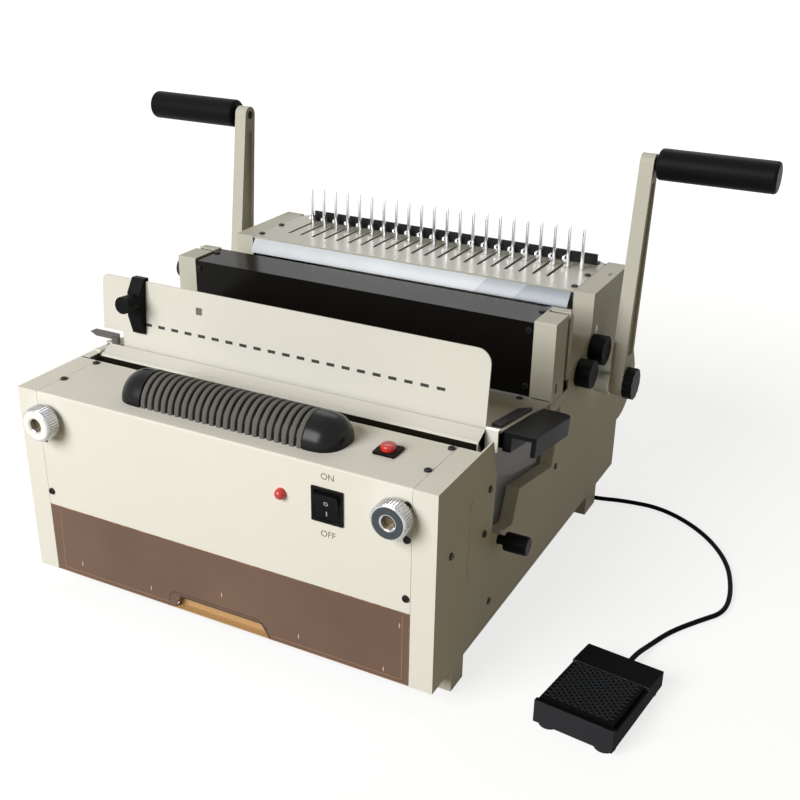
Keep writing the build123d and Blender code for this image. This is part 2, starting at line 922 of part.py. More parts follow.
def front_knob(side):
    """Knurled knob with a socket in its face and a spindle through the front panel."""
    front = -knob_neck_length - knob_length
    knob = rod_y(side * knob_x, knob_z, knob_radius, (front, -knob_neck_length))
    for index in range(knob_flute_count):
        angle = 2 * pi * index / knob_flute_count
        knob -= rod_y(side * knob_x + knob_radius * cos(angle), knob_z + knob_radius * sin(angle),
                      knob_flute_radius, (front - overrun, 0))
    knob -= rod_y(side * knob_x, knob_z, knob_socket_radius, (front - overrun, front + knob_socket_depth))
    knob += rod_y(side * knob_x, knob_z, knob_neck_radius, (-knob_neck_length, -run_gap))
    return knob + rod_y(side * knob_x, knob_z, knob_shaft_radius, (-run_gap, knob_shaft_length))


def rocker_bezel():
    """Frame and body of the mains switch, open at its front."""
    inner = (bezel_width - 2 * bezel_wall, bezel_height - 2 * bezel_wall)
    body = (bezel_width - bezel_wall, bezel_height - bezel_wall)
    bezel = Pos(rocker_x, -bezel_rise / 2, rocker_z) * Box(bezel_width, bezel_rise, bezel_height)
    bezel += Pos(rocker_x, bezel_body_depth / 2, rocker_z) * Box(body[0], bezel_body_depth, body[1])
    reach = rocker_depth + overrun
    return bezel - Pos(rocker_x, reach / 2 - bezel_rise, rocker_z) * Box(inner[0], reach + bezel_rise, inner[1])


def rocker():
    """Rocker of the mains switch, tilted to one side."""
    width = bezel_width - 2 * bezel_wall - 2 * run_gap
    half = (bezel_height - 2 * bezel_wall) / 2 - 2 * run_gap
    drop = half * tan(radians(rocker_tilt))
    outline = [(-bezel_rise, 0), (-bezel_rise - drop + run_gap, half - run_gap), (rocker_depth / 2, half - overrun),
               (rocker_depth - drop, 0), (rocker_depth / 2, overrun - half), (-bezel_rise + run_gap - drop, run_gap - half)]
    low, high = rocker_x - width / 2, rocker_x + width / 2
    solid = profile([(y, rocker_z + z) for y, z in outline], (low, high))
    tilt = Pos(0, 0, rocker_z) * Rot(rocker_tilt, 0, 0) * Pos(0, 0, -rocker_z)
    return tilt * solid


def indicator_lamp():
    """Domed lens on a neck through the front panel."""
    lens = Pos(lamp_x, -sheet, rocker_z) * Sphere(lamp_radius)
    behind = block((lamp_x - 2 * lamp_radius, lamp_x + 2 * lamp_radius), (0, 2 * lamp_radius),
                   (rocker_z - 2 * lamp_radius, rocker_z + 2 * lamp_radius))
    return (lens - behind) + rod_y(lamp_x, rocker_z, lamp_neck_radius, (0, lamp_depth))


def button_base():
    """Square well that guides the push button."""
    well = button_base_size - bezel_wall
    base = Pos(button_x, button_y, front_height + button_base_rise / 2) * Box(
        button_base_size, button_base_size, button_base_rise)
    base += block((button_x - well / 2, button_x + well / 2), (button_y - well / 2, button_y + well / 2),
                  (front_height - button_well_depth, front_height))
    base -= rod_z(button_x, button_y, button_radius + run_gap,
                  (front_height - button_travel - run_gap, front_height + button_rise))
    return base - rod_z(button_x, button_y, button_stem_radius + fit_gap,
                        (front_height - button_well_depth - overrun, front_height))


def push_button():
    """Round cap on a stem."""
    cap = rod_z(button_x, button_y, button_radius, (front_height, front_height + button_rise))
    cap = fillet(cap.edges().sort_by(Axis.Z)[-1], bezel_wall / 2)
    return cap + rod_z(button_x, button_y, button_stem_radius, (front_height - button_well_depth + button_travel,
                                                                front_height))


def waste_drawer():
    """Clear drawer for the punched chips."""
    floor_low = tray_high + drawer_gap / 2
    front = block(both(half_width - flange_width - seam), (0, drawer_plate), (base_height + seam, drawer_top))
    low = notch_low_width / 2
    high = notch_top_width / 2
    bottom = base_height + seam
    notch = make_face(Polyline((-low, bottom - overrun), (low, bottom - overrun), (low, bottom),
                               (high, bottom + notch_height), (-high, bottom + notch_height), (-low, bottom),
                               close=True))
    front -= extrude(Plane.XZ * notch, -drawer_plate)
    half = tray_width / 2
    tray = block(both(half), (drawer_plate, drawer_depth), (floor_low, tray_top))
    tray -= block(both(half - drawer_wall), (drawer_plate, drawer_depth - drawer_wall),
                  (floor_low + drawer_wall, tray_top + overrun))
    tray -= block(both(notch_low_width / 2), (0, drawer_plate + pull_depth), (0, floor_low + 2 * drawer_wall))
    return front + tray


def drawer_pull():
    """Finger cup behind the notch in the drawer's front."""
    half = notch_low_width / 2
    floor_low = tray_high + drawer_gap / 2
    top = base_height + notch_height + 2 * drawer_wall
    cup = block(both(half), (drawer_plate, drawer_plate + pull_depth), (floor_low, top))
    cup -= block(both(half - drawer_wall), (0, drawer_plate + pull_depth - drawer_wall), (0, top - drawer_wall))
    skirt = block(both(half), (drawer_plate + pull_depth - drawer_wall, drawer_plate + pull_depth),
                  (base_height + seam, floor_low))
    return cup + skirt


def power_inlet():
    """Mains inlet socket in the rear cover, with three contact blades."""
    front = base_depth - inlet_depth
    z_span = (inlet_z - inlet_height / 2, inlet_z + inlet_height / 2)
    x_span = (inlet_x - inlet_width / 2, inlet_x + inlet_width / 2)
    body = block(x_span, (front, base_depth + inlet_wall), z_span)
    body += block((x_span[0] - inlet_flange, x_span[1] + inlet_flange), (base_depth, base_depth + inlet_wall),
                  (z_span[0] - inlet_flange, z_span[1] + inlet_flange))
    body -= block((x_span[0] + inlet_wall, x_span[1] - inlet_wall), (front + inlet_wall, base_depth + 2 * inlet_wall),
                  (z_span[0] + inlet_wall, z_span[1] - inlet_wall))
    for index in (-1, 0, 1):
        middle = inlet_x + index * inlet_pin_pitch
        height = inlet_z + inlet_pin_width / 2 * (1 if index == 0 else -1)
        body += block((middle - inlet_pin_thick / 2, middle + inlet_pin_thick / 2),
                      (front, front + inlet_wall + inlet_pin_length),
                      (height - inlet_pin_width / 2, height + inlet_pin_width / 2))
    return body


def control_board():
    """Circuit board on four posts, with its transformer, relay and capacitor."""
    low = tray_high + standoff_height
    high = low + board_thick
    inset = standoff_radius + overrun
    pieces = [Pos(board_x, board_y, low + board_thick / 2) * Box(board_width, board_depth, board_thick)]
    for side in (-1, 1):
        for end in (-1, 1):
            pieces.append(rod_z(board_x + side * (board_width / 2 - inset), board_y + end * (board_depth / 2 - inset),
                                standoff_radius, (tray_high, low)))
    transformer = board_depth / 2
    pieces.append(block((board_x, board_x + transformer), (board_y - transformer / 2, board_y + transformer / 2),
                        (high, high + transformer / 2 + standoff_height)))
    relay = transformer / 2
    pieces.append(block((board_x - 2 * relay, board_x - relay), (board_y, board_y + relay), (high, high + relay)))
    pieces.append(rod_z(board_x - relay, board_y - relay, relay / 2, (high, high + 1.5 * relay)))
    return group(pieces)


# Paper slot and rest

def throat_guide():
    """Bent strip with a rounded nose in front of the paper slot."""
    low = die_high + die_plate_rise - die_height / 2
    top_rear = rest_fold - seam
    top_front = top_rear - strip_rise
    centre_y = strip_front + strip_nose
    centre_z = top_front - strip_nose
    rear = slot_front
    half = pi * 3 / 4
    wall = thin_sheet
    outer = [
        Line((rear, low), (rear, top_rear)),
        Line((rear, top_rear), (centre_y, top_front)),
        ThreePointArc((centre_y, top_front),
                      (centre_y + strip_nose * cos(half), centre_z + strip_nose * sin(half)),
                      (strip_front, centre_z)),
        Line((strip_front, centre_z), (strip_front, low)),
        Line((strip_front, low), (strip_front + wall, low)),
        Line((strip_front + wall, low), (strip_front + wall, centre_z)),
        ThreePointArc((strip_front + wall, centre_z),
                      (centre_y + (strip_nose - wall) * cos(half), centre_z + (strip_nose - wall) * sin(half)),
                      (centre_y, top_front - wall)),
        Line((centre_y, top_front - wall), (rear - wall, top_rear - wall)),
        Line((rear - wall, top_rear - wall), (rear - wall, low)),
        Line((rear - wall, low), (rear, low)),
    ]
    return extrude(Plane.YZ.offset(-strip_end) * make_face(outer), 2 * strip_end)


def paper_rest():
    """Upright sheet that the paper stands against, with a foot behind the slot."""
    step = rest_step_height
    top = rest_height
    left_in = rest_left + 2 * step
    outline = Polyline((left_in, 0), (rest_right, 0), (rest_right, top), (rest_left, top), (rest_left, step),
                       (left_in, step), close=True)
    face = make_face(outline)
    corners = face.vertices().group_by(Axis.Y)[-1].sort_by(Axis.X)
    face = fillet(corners[-1], rest_corner)
    face = fillet(face.vertices().group_by(Axis.Y)[-1].sort_by(Axis.X)[0], step / 2)
    upright = on_rest(extrude(Plane.XZ * face, -thin_sheet))
    lower = block((left_in, rest_right), (slot_rear, slot_rear + thin_sheet), (rest_foot, rest_fold + thin_sheet / 4))
    foot_end = slot_rear + rest_foot_depth
    lower += block((left_in, rest_right), (slot_rear, foot_end), (rest_foot, rest_foot + thin_sheet))
    clear = block((left_in - overrun, rest_right + overrun), (slot_rear - overrun, slot_rear),
                  (0, rest_fold + rest_height))
    return (lower + upright) - (clear & block((rest_left, rest_right), (0, slot_rear), (0, rest_fold)))


def die_bed():
    """Fixed die plate in front of the slot, and the bed that the removable die slides on."""
    rear = slot_front
    plate = block(both(frame_inner), (rear - die_plate_depth, rear),
                  (punch_line - die_plate_drop, die_high + die_plate_rise - die_height / 2))
    for x in hole_places():
        width = pin_width / 2 + fit_gap
        height = pin_height / 2 + fit_gap
        plate -= block((x - width, x + width), (rear - die_plate_depth - overrun, rear + overrun),
                       (punch_line - height, punch_line + height))
    bed = block(both(frame_inner), (rear - die_plate_depth, retainer_rear),
                (die_low - run_gap - bed_thick, die_low - run_gap))
    bed += block(both(frame_inner), (rear - die_plate_depth, rear), (die_low - run_gap, die_low - run_gap + overrun))
    return bed + plate


def slot_brackets():
    """Small bright pieces: a bent end stop, the lock pin's tab, a pointed blade and a ledge."""
    end = block((frame_outer, half_width), (bracket_front, bracket_front + bracket_thick), (bracket_low, bracket_top))
    end += block((frame_outer, half_width), (bracket_front, slot_rear - run_gap),
                 (bracket_top - bracket_thick, bracket_top))
    tab = block((half_width, half_width + bracket_thick), (lock_y - lock_tab_width / 2, lock_y + lock_tab_width / 2),
                (lock_z - lock_tab_height / 2, lock_z + lock_tab_height / 2))
    tab -= rod_x(lock_y, lock_z, lock_radius + run_gap, (frame_outer, half_width + 2 * bracket_thick))
    middle = blade_low + blade_height / 2
    blade_face = make_face(Polyline((blade_root, blade_low), (blade_root, blade_low + blade_height),
                                    (blade_tip + blade_height, blade_low + blade_height), (blade_tip, middle),
                                    (blade_tip + blade_height, blade_low), close=True))
    blade = extrude(Plane.XZ.offset(-blade_front) * blade_face, -bracket_thick)
    blade += block((blade_root - blade_height, blade_root), (slot_front - thin_sheet, blade_front + bracket_thick),
                   (rest_fold - seam, middle))
    ledge = block((ledge_left, ledge_right), (ledge_front, slot_front - thin_sheet), (ledge_low, ledge_low + ledge_thick))
    return group([end, tab, blade, ledge])


def lock_bar():
    """Flat bar on the deck beside the die's handle, its rear end cut on the skew."""
    face = make_face(Polyline((bar_inner, bar_start), (bar_outer, bar_start), (bar_outer, bar_end),
                              (bar_inner, bar_end - bar_skew), close=True))
    return on_deck(extrude(face, bar_thick))


# Removable die

def die_block():
    """Block that guides the punch pins, with two rails and the tongue to the end plate."""
    z_span = (die_low, die_high)
    body = block(both(die_half_width), (die_front, die_front + guide_block_depth), z_span)
    for side in (-1, 1):
        x_span = sorted((side * (die_half_width - rail_width), side * die_half_width))
        body += block(x_span, (die_front, die_front + rail_depth), z_span)
    body += block((die_half_width, plate_start), (die_front, die_front + rail_depth), z_span)
    for x in hole_places():
        width = pin_width / 2 + fit_gap
        height = pin_height / 2 + fit_gap
        body -= block((x - width, x + width), (die_front - overrun, die_front + guide_block_depth + overrun),
                      (punch_line - height, punch_line + height))
    return body


def die_end_plate():
    """Steel plate at the die's right end."""
    front = die_front + die_setback
    points = [(front + plate_length * along, plate_rear_low + plate_height * up) for along, up in plate_shares]
    rear = front + plate_length
    points += [(rear, deck_under(rear) - plate_top_drop), (front, deck_under(front) - plate_top_drop)]
    return profile(points, (plate_start, plate_end))


def die_handle():
    """Channel-shaped handle, bridged to the end plate through the casing's opening."""
    run = (grip_run_start, grip_run_end)
    top = block((grip_inner, grip_outer), run, (-grip_top_thick, 0))
    leg = block((grip_inner, grip_inner + grip_leg_thick), run, (-grip_leg_drop, 0))
    lip = block((grip_outer - grip_lip_thick, grip_outer), run, (-grip_leg_drop, 0))
    handle = top + leg + lip
    corner = handle.edges().filter_by(Axis.Z).sort_by(Axis.X)[-2:].sort_by(Axis.Y)[-1]
    handle = fillet(corner, grip_corner)
    handle += block((plate_end, grip_inner), (bridge_start, bridge_end), (-bridge_drop, bridge_height - bridge_drop))
    return on_deck(handle)


def punch_pins():
    """A row of rectangular pins and the bar that holds them."""
    pieces = []
    half = die_half_width - rail_width - run_gap
    bar = block(both(half), (retainer_front, retainer_rear),
                (punch_line - retainer_height / 2, punch_line + retainer_height / 2))
    for x in hole_places():
        pin = block((x - pin_width / 2, x + pin_width / 2), (die_front + pin_setback, retainer_rear),
                    (punch_line - pin_height / 2, punch_line + pin_height / 2))
        bar -= pin
        pieces.append(pin)
    return group([bar] + pieces)


# Punch drive

def punch_beam():
    """Beam that pushes the pins, guided by its lugs in the side frames."""
    z_span = (punch_line - beam_height / 2, punch_line + beam_height / 2)
    beam = block(both(beam_half_width), (beam_front, beam_rear), z_span)
    return beam + block(both(frame_outer - run_gap), (beam_front, beam_front + lug_depth),
                        (punch_line - lug_height / 2, punch_line + lug_height / 2))


def eccentric_shaft():
    """Shaft with two eccentric cams, its left end out through the frame to the gear."""
    shaft = rod_x(cam_axis_y, cam_axis_z, shaft_radius, (-gear_inner - gear_width, frame_outer))
    for side in (-1, 1):
        x_span = (side * cam_x - cam_width / 2, side * cam_x + cam_width / 2)
        shaft += rod_x(cam_axis_y + cam_throw, cam_axis_z, cam_radius, x_span)
    return shaft


def bearing_angle():
    """Direction from the eccentric shaft to the motor's pinion."""
    return atan2(pinion_z - cam_axis_z, pinion_y - cam_axis_y)


def drive_gear():
    """Gear on the eccentric shaft, a tooth pointing at the pinion."""
    x_span = (-gear_inner - gear_width, -gear_inner)
    return gear(gear_module, gear_teeth, bearing_angle(), (cam_axis_y, cam_axis_z), x_span, shaft_radius)


def motor_pinion():
    """Pinion on the gearbox shaft, a tooth space pointing at the gear."""
    x_span = (-gear_inner - gear_width, -gear_inner)
    turn = bearing_angle() + pi + pi / pinion_teeth
    pinion = gear(gear_module, pinion_teeth, turn, (pinion_y, pinion_z), x_span, motor_shaft_radius)
    return pinion + rod_x(pinion_y, pinion_z, motor_shaft_radius, (x_span[0], -frame_inner + run_gap))


def motor_place():
    """The motor's axis."""
    return pinion_y + motor_setback, pinion_z - motor_drop


def motor_middle():
    """Middle of the motor's body on X."""
    return -frame_inner + gearbox_length + motor_length / 2


def gear_motor():
    """Gearbox screwed to the left frame, with the motor behind it."""
    box_end = -frame_inner + gearbox_length
    motor_y, motor_z = motor_place()
    z_high = pinion_z + gearbox_rise
    gearbox = block((-frame_inner, box_end), (pinion_y - gearbox_depth / 2 + motor_setback / 2,
                                              pinion_y + gearbox_depth / 2 + motor_setback / 2),
                    (z_high - gearbox_height, z_high))
    gearbox -= rod_x(pinion_y, pinion_z, motor_shaft_radius + fit_gap, (-frame_inner - overrun,
                                                                         -frame_inner + overrun))
    return gearbox + rod_x(motor_y, motor_z, motor_radius, (box_end, box_end + motor_length))


def shaft_bushes():
    """Bronze bushes for the eccentric shaft and the arm shaft."""
    bushes = []
    for y, z in ((cam_axis_y, cam_axis_z), (arm_axis_y, arm_axis_z)):
        bush = rod_x(y, z, bush_radius, (frame_inner, frame_outer))
        bush -= rod_x(y, z, shaft_radius + fit_gap, (frame_inner - overrun, frame_outer + overrun))
        bushes += [bush, mirrored(bush)]
    return group(bushes)


# Punch housing

def punch_cover():
    """Glossy black cover over the punch drive."""
    x_span = both(panel_half)
    cover = block(x_span, (housing_front, housing_front + sheet), (housing_low, housing_top))
    cover += block(x_span, (housing_front, housing_rear), (housing_top - sheet, housing_top))
    cover += block(x_span, (housing_rear - sheet, housing_rear), (block_top - flange_width, housing_top))
    return drilled(cover, punch_screws())


def punch_block(side):
    """End block of the punch housing, drawn on the right."""
    inner = panel_half + seam
    outer = half_width
    width = (inner, outer)
    piece = block((inner, inner + sheet), (housing_front, housing_rear), (block_rear_low, block_top))
    piece += block(width, (housing_front, housing_front + sheet), (block_front_low, block_top))
    piece += block((outer - sheet, outer), (housing_front, block_box_rear), (block_wall_low, block_top))
    piece += block(width, (housing_front, block_box_rear), (block_top - sheet, block_top))
    piece += block(width, (block_slot_rear, housing_rear), (block_top - sheet, block_top))
    piece += block(width, (housing_rear - sheet, housing_rear), (block_rear_low, block_top))
    piece += block((outer - sheet, outer), (block_slot_rear, housing_rear), (block_rear_low, block_top))
    piece += block((inner - tab_width, inner), (housing_front + sheet, housing_front + 2 * sheet),
                   (block_rear_low, housing_top - sheet))
    piece += block((inner - tab_width, inner), (housing_front + sheet, housing_rear - sheet),
                   (housing_top - 2 * sheet, housing_top - sheet))
    top_edge = piece.edges().filter_by(Axis.X).filter_by_position(Axis.Y, housing_front, housing_front + fit_gap)
    piece = fillet(top_edge.sort_by(Axis.Z)[-1], sheet)
    rear_corner = make_face(Polyline((housing_rear - block_corner, block_top), (housing_rear, block_top),
                                     (housing_rear, block_top - block_corner), close=True))
    piece -= extrude(Plane.YZ.offset(outer - sheet) * rear_corner, 2 * sheet)
    piece = drilled(piece, [place for place in punch_screws() if place[0][0] > 0])
    if side > 0:
        slot = Plane.YZ.offset(outer - 2 * sheet) * Pos(eye_slot_y, eye_slot_z) * Rot(0, 0, 90)
        return piece - extrude(slot * SlotOverall(eye_slot_length, eye_slot_width), 4 * sheet)
    return mirrored(piece)


def punch_blocks():
    """Both end blocks, and the round cap on the left one."""
    cap = rod_x(cap_y, cap_z, cap_radius, (-half_width - cap_rise, -half_width))
    cap = fillet(cap.edges().sort_by(Axis.X)[0], cap_rise / 2)
    return group([punch_block(-1), punch_block(1), cap])


# Comb opening unit

def slot_places():
    """Places of the comb plate's slots and of the hooks in them."""
    return row(first_slot_x, pitch, hole_count)


def tine_places():
    """Places of the upright tines."""
    return row(first_tine_x, pitch, tine_count)


def comb_plate():
    """Slotted plate on top of the comb unit."""
    face = make_face(Polyline((-panel_half, comb_front), (panel_half, comb_front), (panel_half, comb_rear),
                              (-panel_half, comb_rear), close=True))
    face = fillet(face.vertices().group_by(Axis.Y)[-1], comb_corner)
    plate = extrude(Plane.XY.offset(comb_height - sheet) * face, sheet)
    middle = (comb_slot_front + comb_slot_rear) / 2
    for x in slot_places():
        slot = Pos(x, middle) * Rot(0, 0, 90) * SlotOverall(comb_slot_rear - comb_slot_front, comb_slot_width)
        plate -= extrude(Plane.XY.offset(comb_height - 2 * sheet) * slot, 3 * sheet)
    for x in tine_places():
        width = tine_foot_width / 2 + run_gap
        depth = tine_thick / 2 + run_gap
        plate -= block((x - width, x + width), (tine_y - depth, tine_y + depth),
                       (comb_height - 2 * sheet, comb_height + sheet))
    return drilled(plate, comb_screws())


def comb_front_strip():
    """Polished strip under the comb plate's front edge."""
    high = comb_height - sheet
    strip = block(both(panel_half - sheet), (comb_front + run_gap, comb_front + run_gap + sheet),
                  (high - strip_height, high))
    return strip + block(both(panel_half - screw_head_radius - 4 * sheet),
                         (comb_front + run_gap, comb_front + flange_width), (high - sheet, high))


def comb_tines():
    """Upright steel fingers, each with a foot under the plate."""
    tines = []
    plate_low = comb_height - sheet
    for x in tine_places():
        depth = (tine_y - tine_thick / 2, tine_y + tine_thick / 2)
        tine = block((x - tine_foot_width / 2, x + tine_foot_width / 2), depth,
                     (plate_low - sheet, comb_height + tine_shoulder))
        tine += block((x - tine_width / 2, x + tine_width / 2), depth, (comb_height, comb_height + tine_rise))
        tine += block((x - tine_foot_width, x + tine_foot_width),
                      (tine_y - tine_foot_length, tine_y + tine_thick / 2), (plate_low - sheet, plate_low))
        tines.append(tine)
    return group(tines)


def hook_carriage():
    """Bar with slots that hold the row of hooks, and two racks under it that the arm shaft's pinions drive."""
    bar_rear = hook_rear + hook_depth / 2
    bar = block(both(carriage_half_width), (bar_rear - carriage_depth, bar_rear),
                (carriage_low, carriage_low + carriage_height))
    hooks = []
    for x in slot_places():
        width = (x - hook_width / 2, x + hook_width / 2)
        stem = block(width, (hook_rear - hook_depth, hook_rear), (carriage_low, comb_height + hook_rise))
        lip = block(width, (hook_rear - hook_depth - hook_lip, hook_rear),
                    (comb_height + hook_rise - hook_lip_height, comb_height + hook_rise))
        bar -= stem
        hooks.append(stem + lip)
    racks = []
    for side in (-1, 1):
        x_span = sorted((side * (rack_x - rack_width / 2), side * (rack_x + rack_width / 2)))
        post = block(x_span, (bar_rear - carriage_depth, bar_rear), (rack_line + rack_module, carriage_low))
        racks.append(profile(rack_outline(bar_rear), x_span) + post)
    return group([bar, *hooks, *racks])


def rack_outline(rear):
    """Straight rack, its teeth down, a tooth centred over the arm shaft."""
    step = pi * rack_module
    lean = tan(radians(20))
    half = (step - gear_backlash) / 4
    count = int((rear - arm_axis_y) / step - 0.5)
    front_count = int(rack_length / step) - count
    tip = rack_line - rack_module
    root = rack_line + 1.25 * rack_module
    points = [(arm_axis_y - (front_count + 0.5) * step, root)]
    for index in range(-front_count, count + 1):
        middle = arm_axis_y + index * step
        points += [
            (middle - half - (root - rack_line) * lean, root),
            (middle - half + (rack_line - tip) * lean, tip),
            (middle + half - (rack_line - tip) * lean, tip),
            (middle + half + (root - rack_line) * lean, root),
        ]
    return points + [(rear, root), (rear, root + rack_back), (arm_axis_y - (front_count + 0.5) * step, root + rack_back)]


def rear_guard():
    """Low black guard behind the tines."""
    front = comb_slot_rear + guard_setback
    guard = block((guard_left, guard_right), (front, front + sheet), (comb_height, comb_height + guard_rise))
    return guard + block((guard_left, guard_right), (front, front + guard_depth), (comb_height, comb_height + sheet))


def comb_block(side):
    """End block of the comb unit, drawn on the right."""
    outline = [
        (housing_rear + seam, side_top),
        (housing_rear + seam, comb_start_z),
        (comb_front, comb_step_z),
        (comb_front, comb_height),
        (comb_rear, comb_height),
        (hood_break, side_top),
    ]
    inner_outline = [
        (housing_rear + seam - overrun, side_top - overrun),
        (housing_rear + seam - overrun, comb_start_z - sheet),
        (comb_front + sheet, comb_step_z - sheet),
        (comb_front + sheet, comb_height - sheet),
        (comb_rear - sheet, comb_height - sheet),
        (hood_break - 1.3 * sheet, side_top),
        (hood_break - 1.3 * sheet, side_top - overrun),
    ]
    inner = panel_half + seam
    piece = profile(outline, (inner, half_width)) - profile(inner_outline, (inner - overrun, half_width - sheet))
    for y, z, radius in size_knob_places.values():
        piece -= rod_x(y, z, size_knob_spindle + fit_gap, (inner, half_width + overrun))
    return piece if side > 0 else mirrored(piece)


def comb_blocks():
    """Both end blocks of the comb unit."""
    return group([comb_block(-1), comb_block(1)])


def size_knob(name):
    """Black knob on a spindle through the comb unit's right block."""
    y, z, radius = size_knob_places[name]
    start = half_width + size_knob_gap
    knob = rod_x(y, z, radius, (start, arm_inner - run_gap - size_knob_gap))
    knob = fillet(knob.edges().sort_by(Axis.X)[-1], size_knob_gap * 2)
    knob += rod_x(y, z, size_knob_spindle, (half_width - size_knob_reach, start))
    return knob + rod_x(y, z, size_knob_collar, (half_width - size_knob_reach, half_width - sheet - run_gap))


# Lever arms

def arm_frame():
    """Place of the arms: on their shaft, leaning back."""
    return Pos(0, arm_axis_y, arm_axis_z) * Rot(-arm_lean, 0, 0)


def arm_shaft():
    """Shaft across the machine with a white spacer outside each cover."""
    shaft = rod_x(arm_axis_y, arm_axis_z, shaft_radius, both(arm_outer))
    spacer = rod_x(arm_axis_y, arm_axis_z, washer_radius, (half_width + run_gap, arm_inner))
    return shaft + spacer + mirrored(spacer)


def lever_arm():
    """Tapered arm with rounded ends and a long recess in both faces, drawn on the right."""
    low = arm_low_width / 2
    top = arm_top_width / 2
    reach = arm_length - top
    taper = asin((low - top) / reach)
    tangent_low = (low * cos(taper), low * sin(taper))
    tangent_top = (top * cos(taper), reach + top * sin(taper))
    face = make_face([
        Line(tangent_low, tangent_top),
        ThreePointArc(tangent_top, (0, arm_length), (-tangent_top[0], tangent_top[1])),
        Line((-tangent_top[0], tangent_top[1]), (-tangent_low[0], tangent_low[1])),
        ThreePointArc((-tangent_low[0], tangent_low[1]), (0, -low), tangent_low),
    ])
    arm = extrude(Plane.YZ.offset(arm_inner) * face, arm_thick)
    margin = arm_recess_margin
    start = arm_low_width
    end = reach - arm_top_width
    recess = make_face(Polyline((low * 0.9 - margin, start), (top - margin, end), (margin - top, end),
                                (margin - low * 0.9, start), close=True))
    recess = fillet(recess.vertices(), arm_recess)
    arm -= extrude(Plane.YZ.offset(arm_inner - overrun) * recess, overrun + arm_recess)
    arm -= extrude(Plane.YZ.offset(arm_outer - arm_recess) * recess, overrun + arm_recess)
    arm -= rod_x(0, 0, shaft_radius, (arm_inner - overrun, arm_outer + overrun))
    arm -= rod_x(0, reach, grip_bolt_radius, (arm_inner - overrun, arm_outer + overrun))
    return arm_frame() * arm


def lever_arms():
    """The left and right arms."""
    right = lever_arm()
    return group([right, mirrored(right)])


def arm_grips():
    """Round black grips on bolts through the arms' tops."""
    reach = arm_length - arm_top_width / 2
    grip = rod_x(0, reach, grip_radius, (arm_outer + grip_gap, arm_outer + grip_gap + grip_length))
    grip = fillet(grip.edges(), grip_round)
    grip += rod_x(0, reach, grip_bolt_radius, (arm_inner, arm_outer + grip_gap))
    grip += rod_x(0, reach, grip_bolt_radius + overrun, (arm_outer, arm_outer + grip_gap))
    grip = arm_frame() * grip
    return group([grip, mirrored(grip)])


def hub_knobs():
    """Fluted knobs that clamp the arms to their shaft."""
    knob = rod_x(arm_axis_y, arm_axis_z, hub_radius, (arm_outer, arm_outer + hub_length))
    for index in range(hub_flute_count):
        angle = 2 * pi * index / hub_flute_count
        knob -= rod_x(arm_axis_y + (hub_radius + hub_flute_radius / 2) * cos(angle),
                      arm_axis_z + (hub_radius + hub_flute_radius / 2) * sin(angle),
                      hub_flute_radius, (arm_outer - overrun, arm_outer + hub_length + overrun))
    return group([knob, mirrored(knob)])


def comb_pinions():
    """Two pinions on the arm shaft, a tooth space up under the racks."""
    turn = pi / 2 + pi / rack_teeth
    pinions = []
    for side in (-1, 1):
        x_span = (side * rack_x - rack_width / 2, side * rack_x + rack_width / 2)
        pinions.append(gear(rack_module, rack_teeth, turn, (arm_axis_y, arm_axis_z), x_span, shaft_radius))
    return group(pinions)


# Small moving parts

def lock_pin():
    """Spring pin with a black grip, through the right cover and frame."""
    pin = rod_x(lock_y, lock_z, lock_radius, (lock_start, lock_grip_start))
    grip = rod_x(lock_y, lock_z, lock_grip_radius, (lock_grip_start, lock_grip_end))
    return pin + fillet(grip.edges(), sheet)


def margin_guide():
    """Black guide that hooks over the paper rest's top edge, its front a block with sloping ends."""
    x_span = (guide_x - guide_width / 2, guide_x + guide_width / 2)
    rear = thin_sheet + run_gap
    top = rest_height + run_gap + guide_wall
    front = -run_gap - guide_reach
    guide = profile([(-run_gap, guide_foot), (-run_gap - guide_wall, guide_foot), (front, guide_slope_low),
                     (front, guide_slope_high), (-run_gap - guide_wall, top), (-run_gap, top)], x_span)
    guide += block(x_span, (-run_gap - guide_wall, rear + guide_wall), (top - guide_wall, top))
    guide += block(x_span, (rear, rear + guide_wall), (top - guide_hook_depth - guide_wall, top))
    guide -= rod_y(guide_x, guide_knob_rise, guide_spindle_radius + fit_gap, (front - overrun, 0))
    return on_rest(guide)


def margin_knob():
    """Ribbed clamp knob of the margin guide, its spindle ending just off the sheet."""
    start = -guide_reach - 2 * run_gap
    knob = rod_y(guide_x, guide_knob_rise, guide_knob_radius, (start - guide_knob_length, start))
    knob += rod_y(guide_x, guide_knob_rise, guide_spindle_radius, (start, -2 * run_gap))
    return on_rest(knob)


# Foot pedal

def pedal_top(y):
    """Height of the pedal's sloping top, level with the tread."""
    return pedal_rear_height + (pedal_length / 2 - y) * tan(radians(pedal_slope))


def tread_place():
    """Front and rear of the tread on the pedal's own axis."""
    rear = pedal_length / 2 - pedal_housing_depth
    return rear - tread_length, rear


def pedal_pin_place():
    """Axis of the tread's hinge on the pedal's own axes."""
    rear = tread_place()[1]
    return rear - pedal_pin_setback, pedal_top(rear - pedal_pin_setback) - pedal_pin_drop


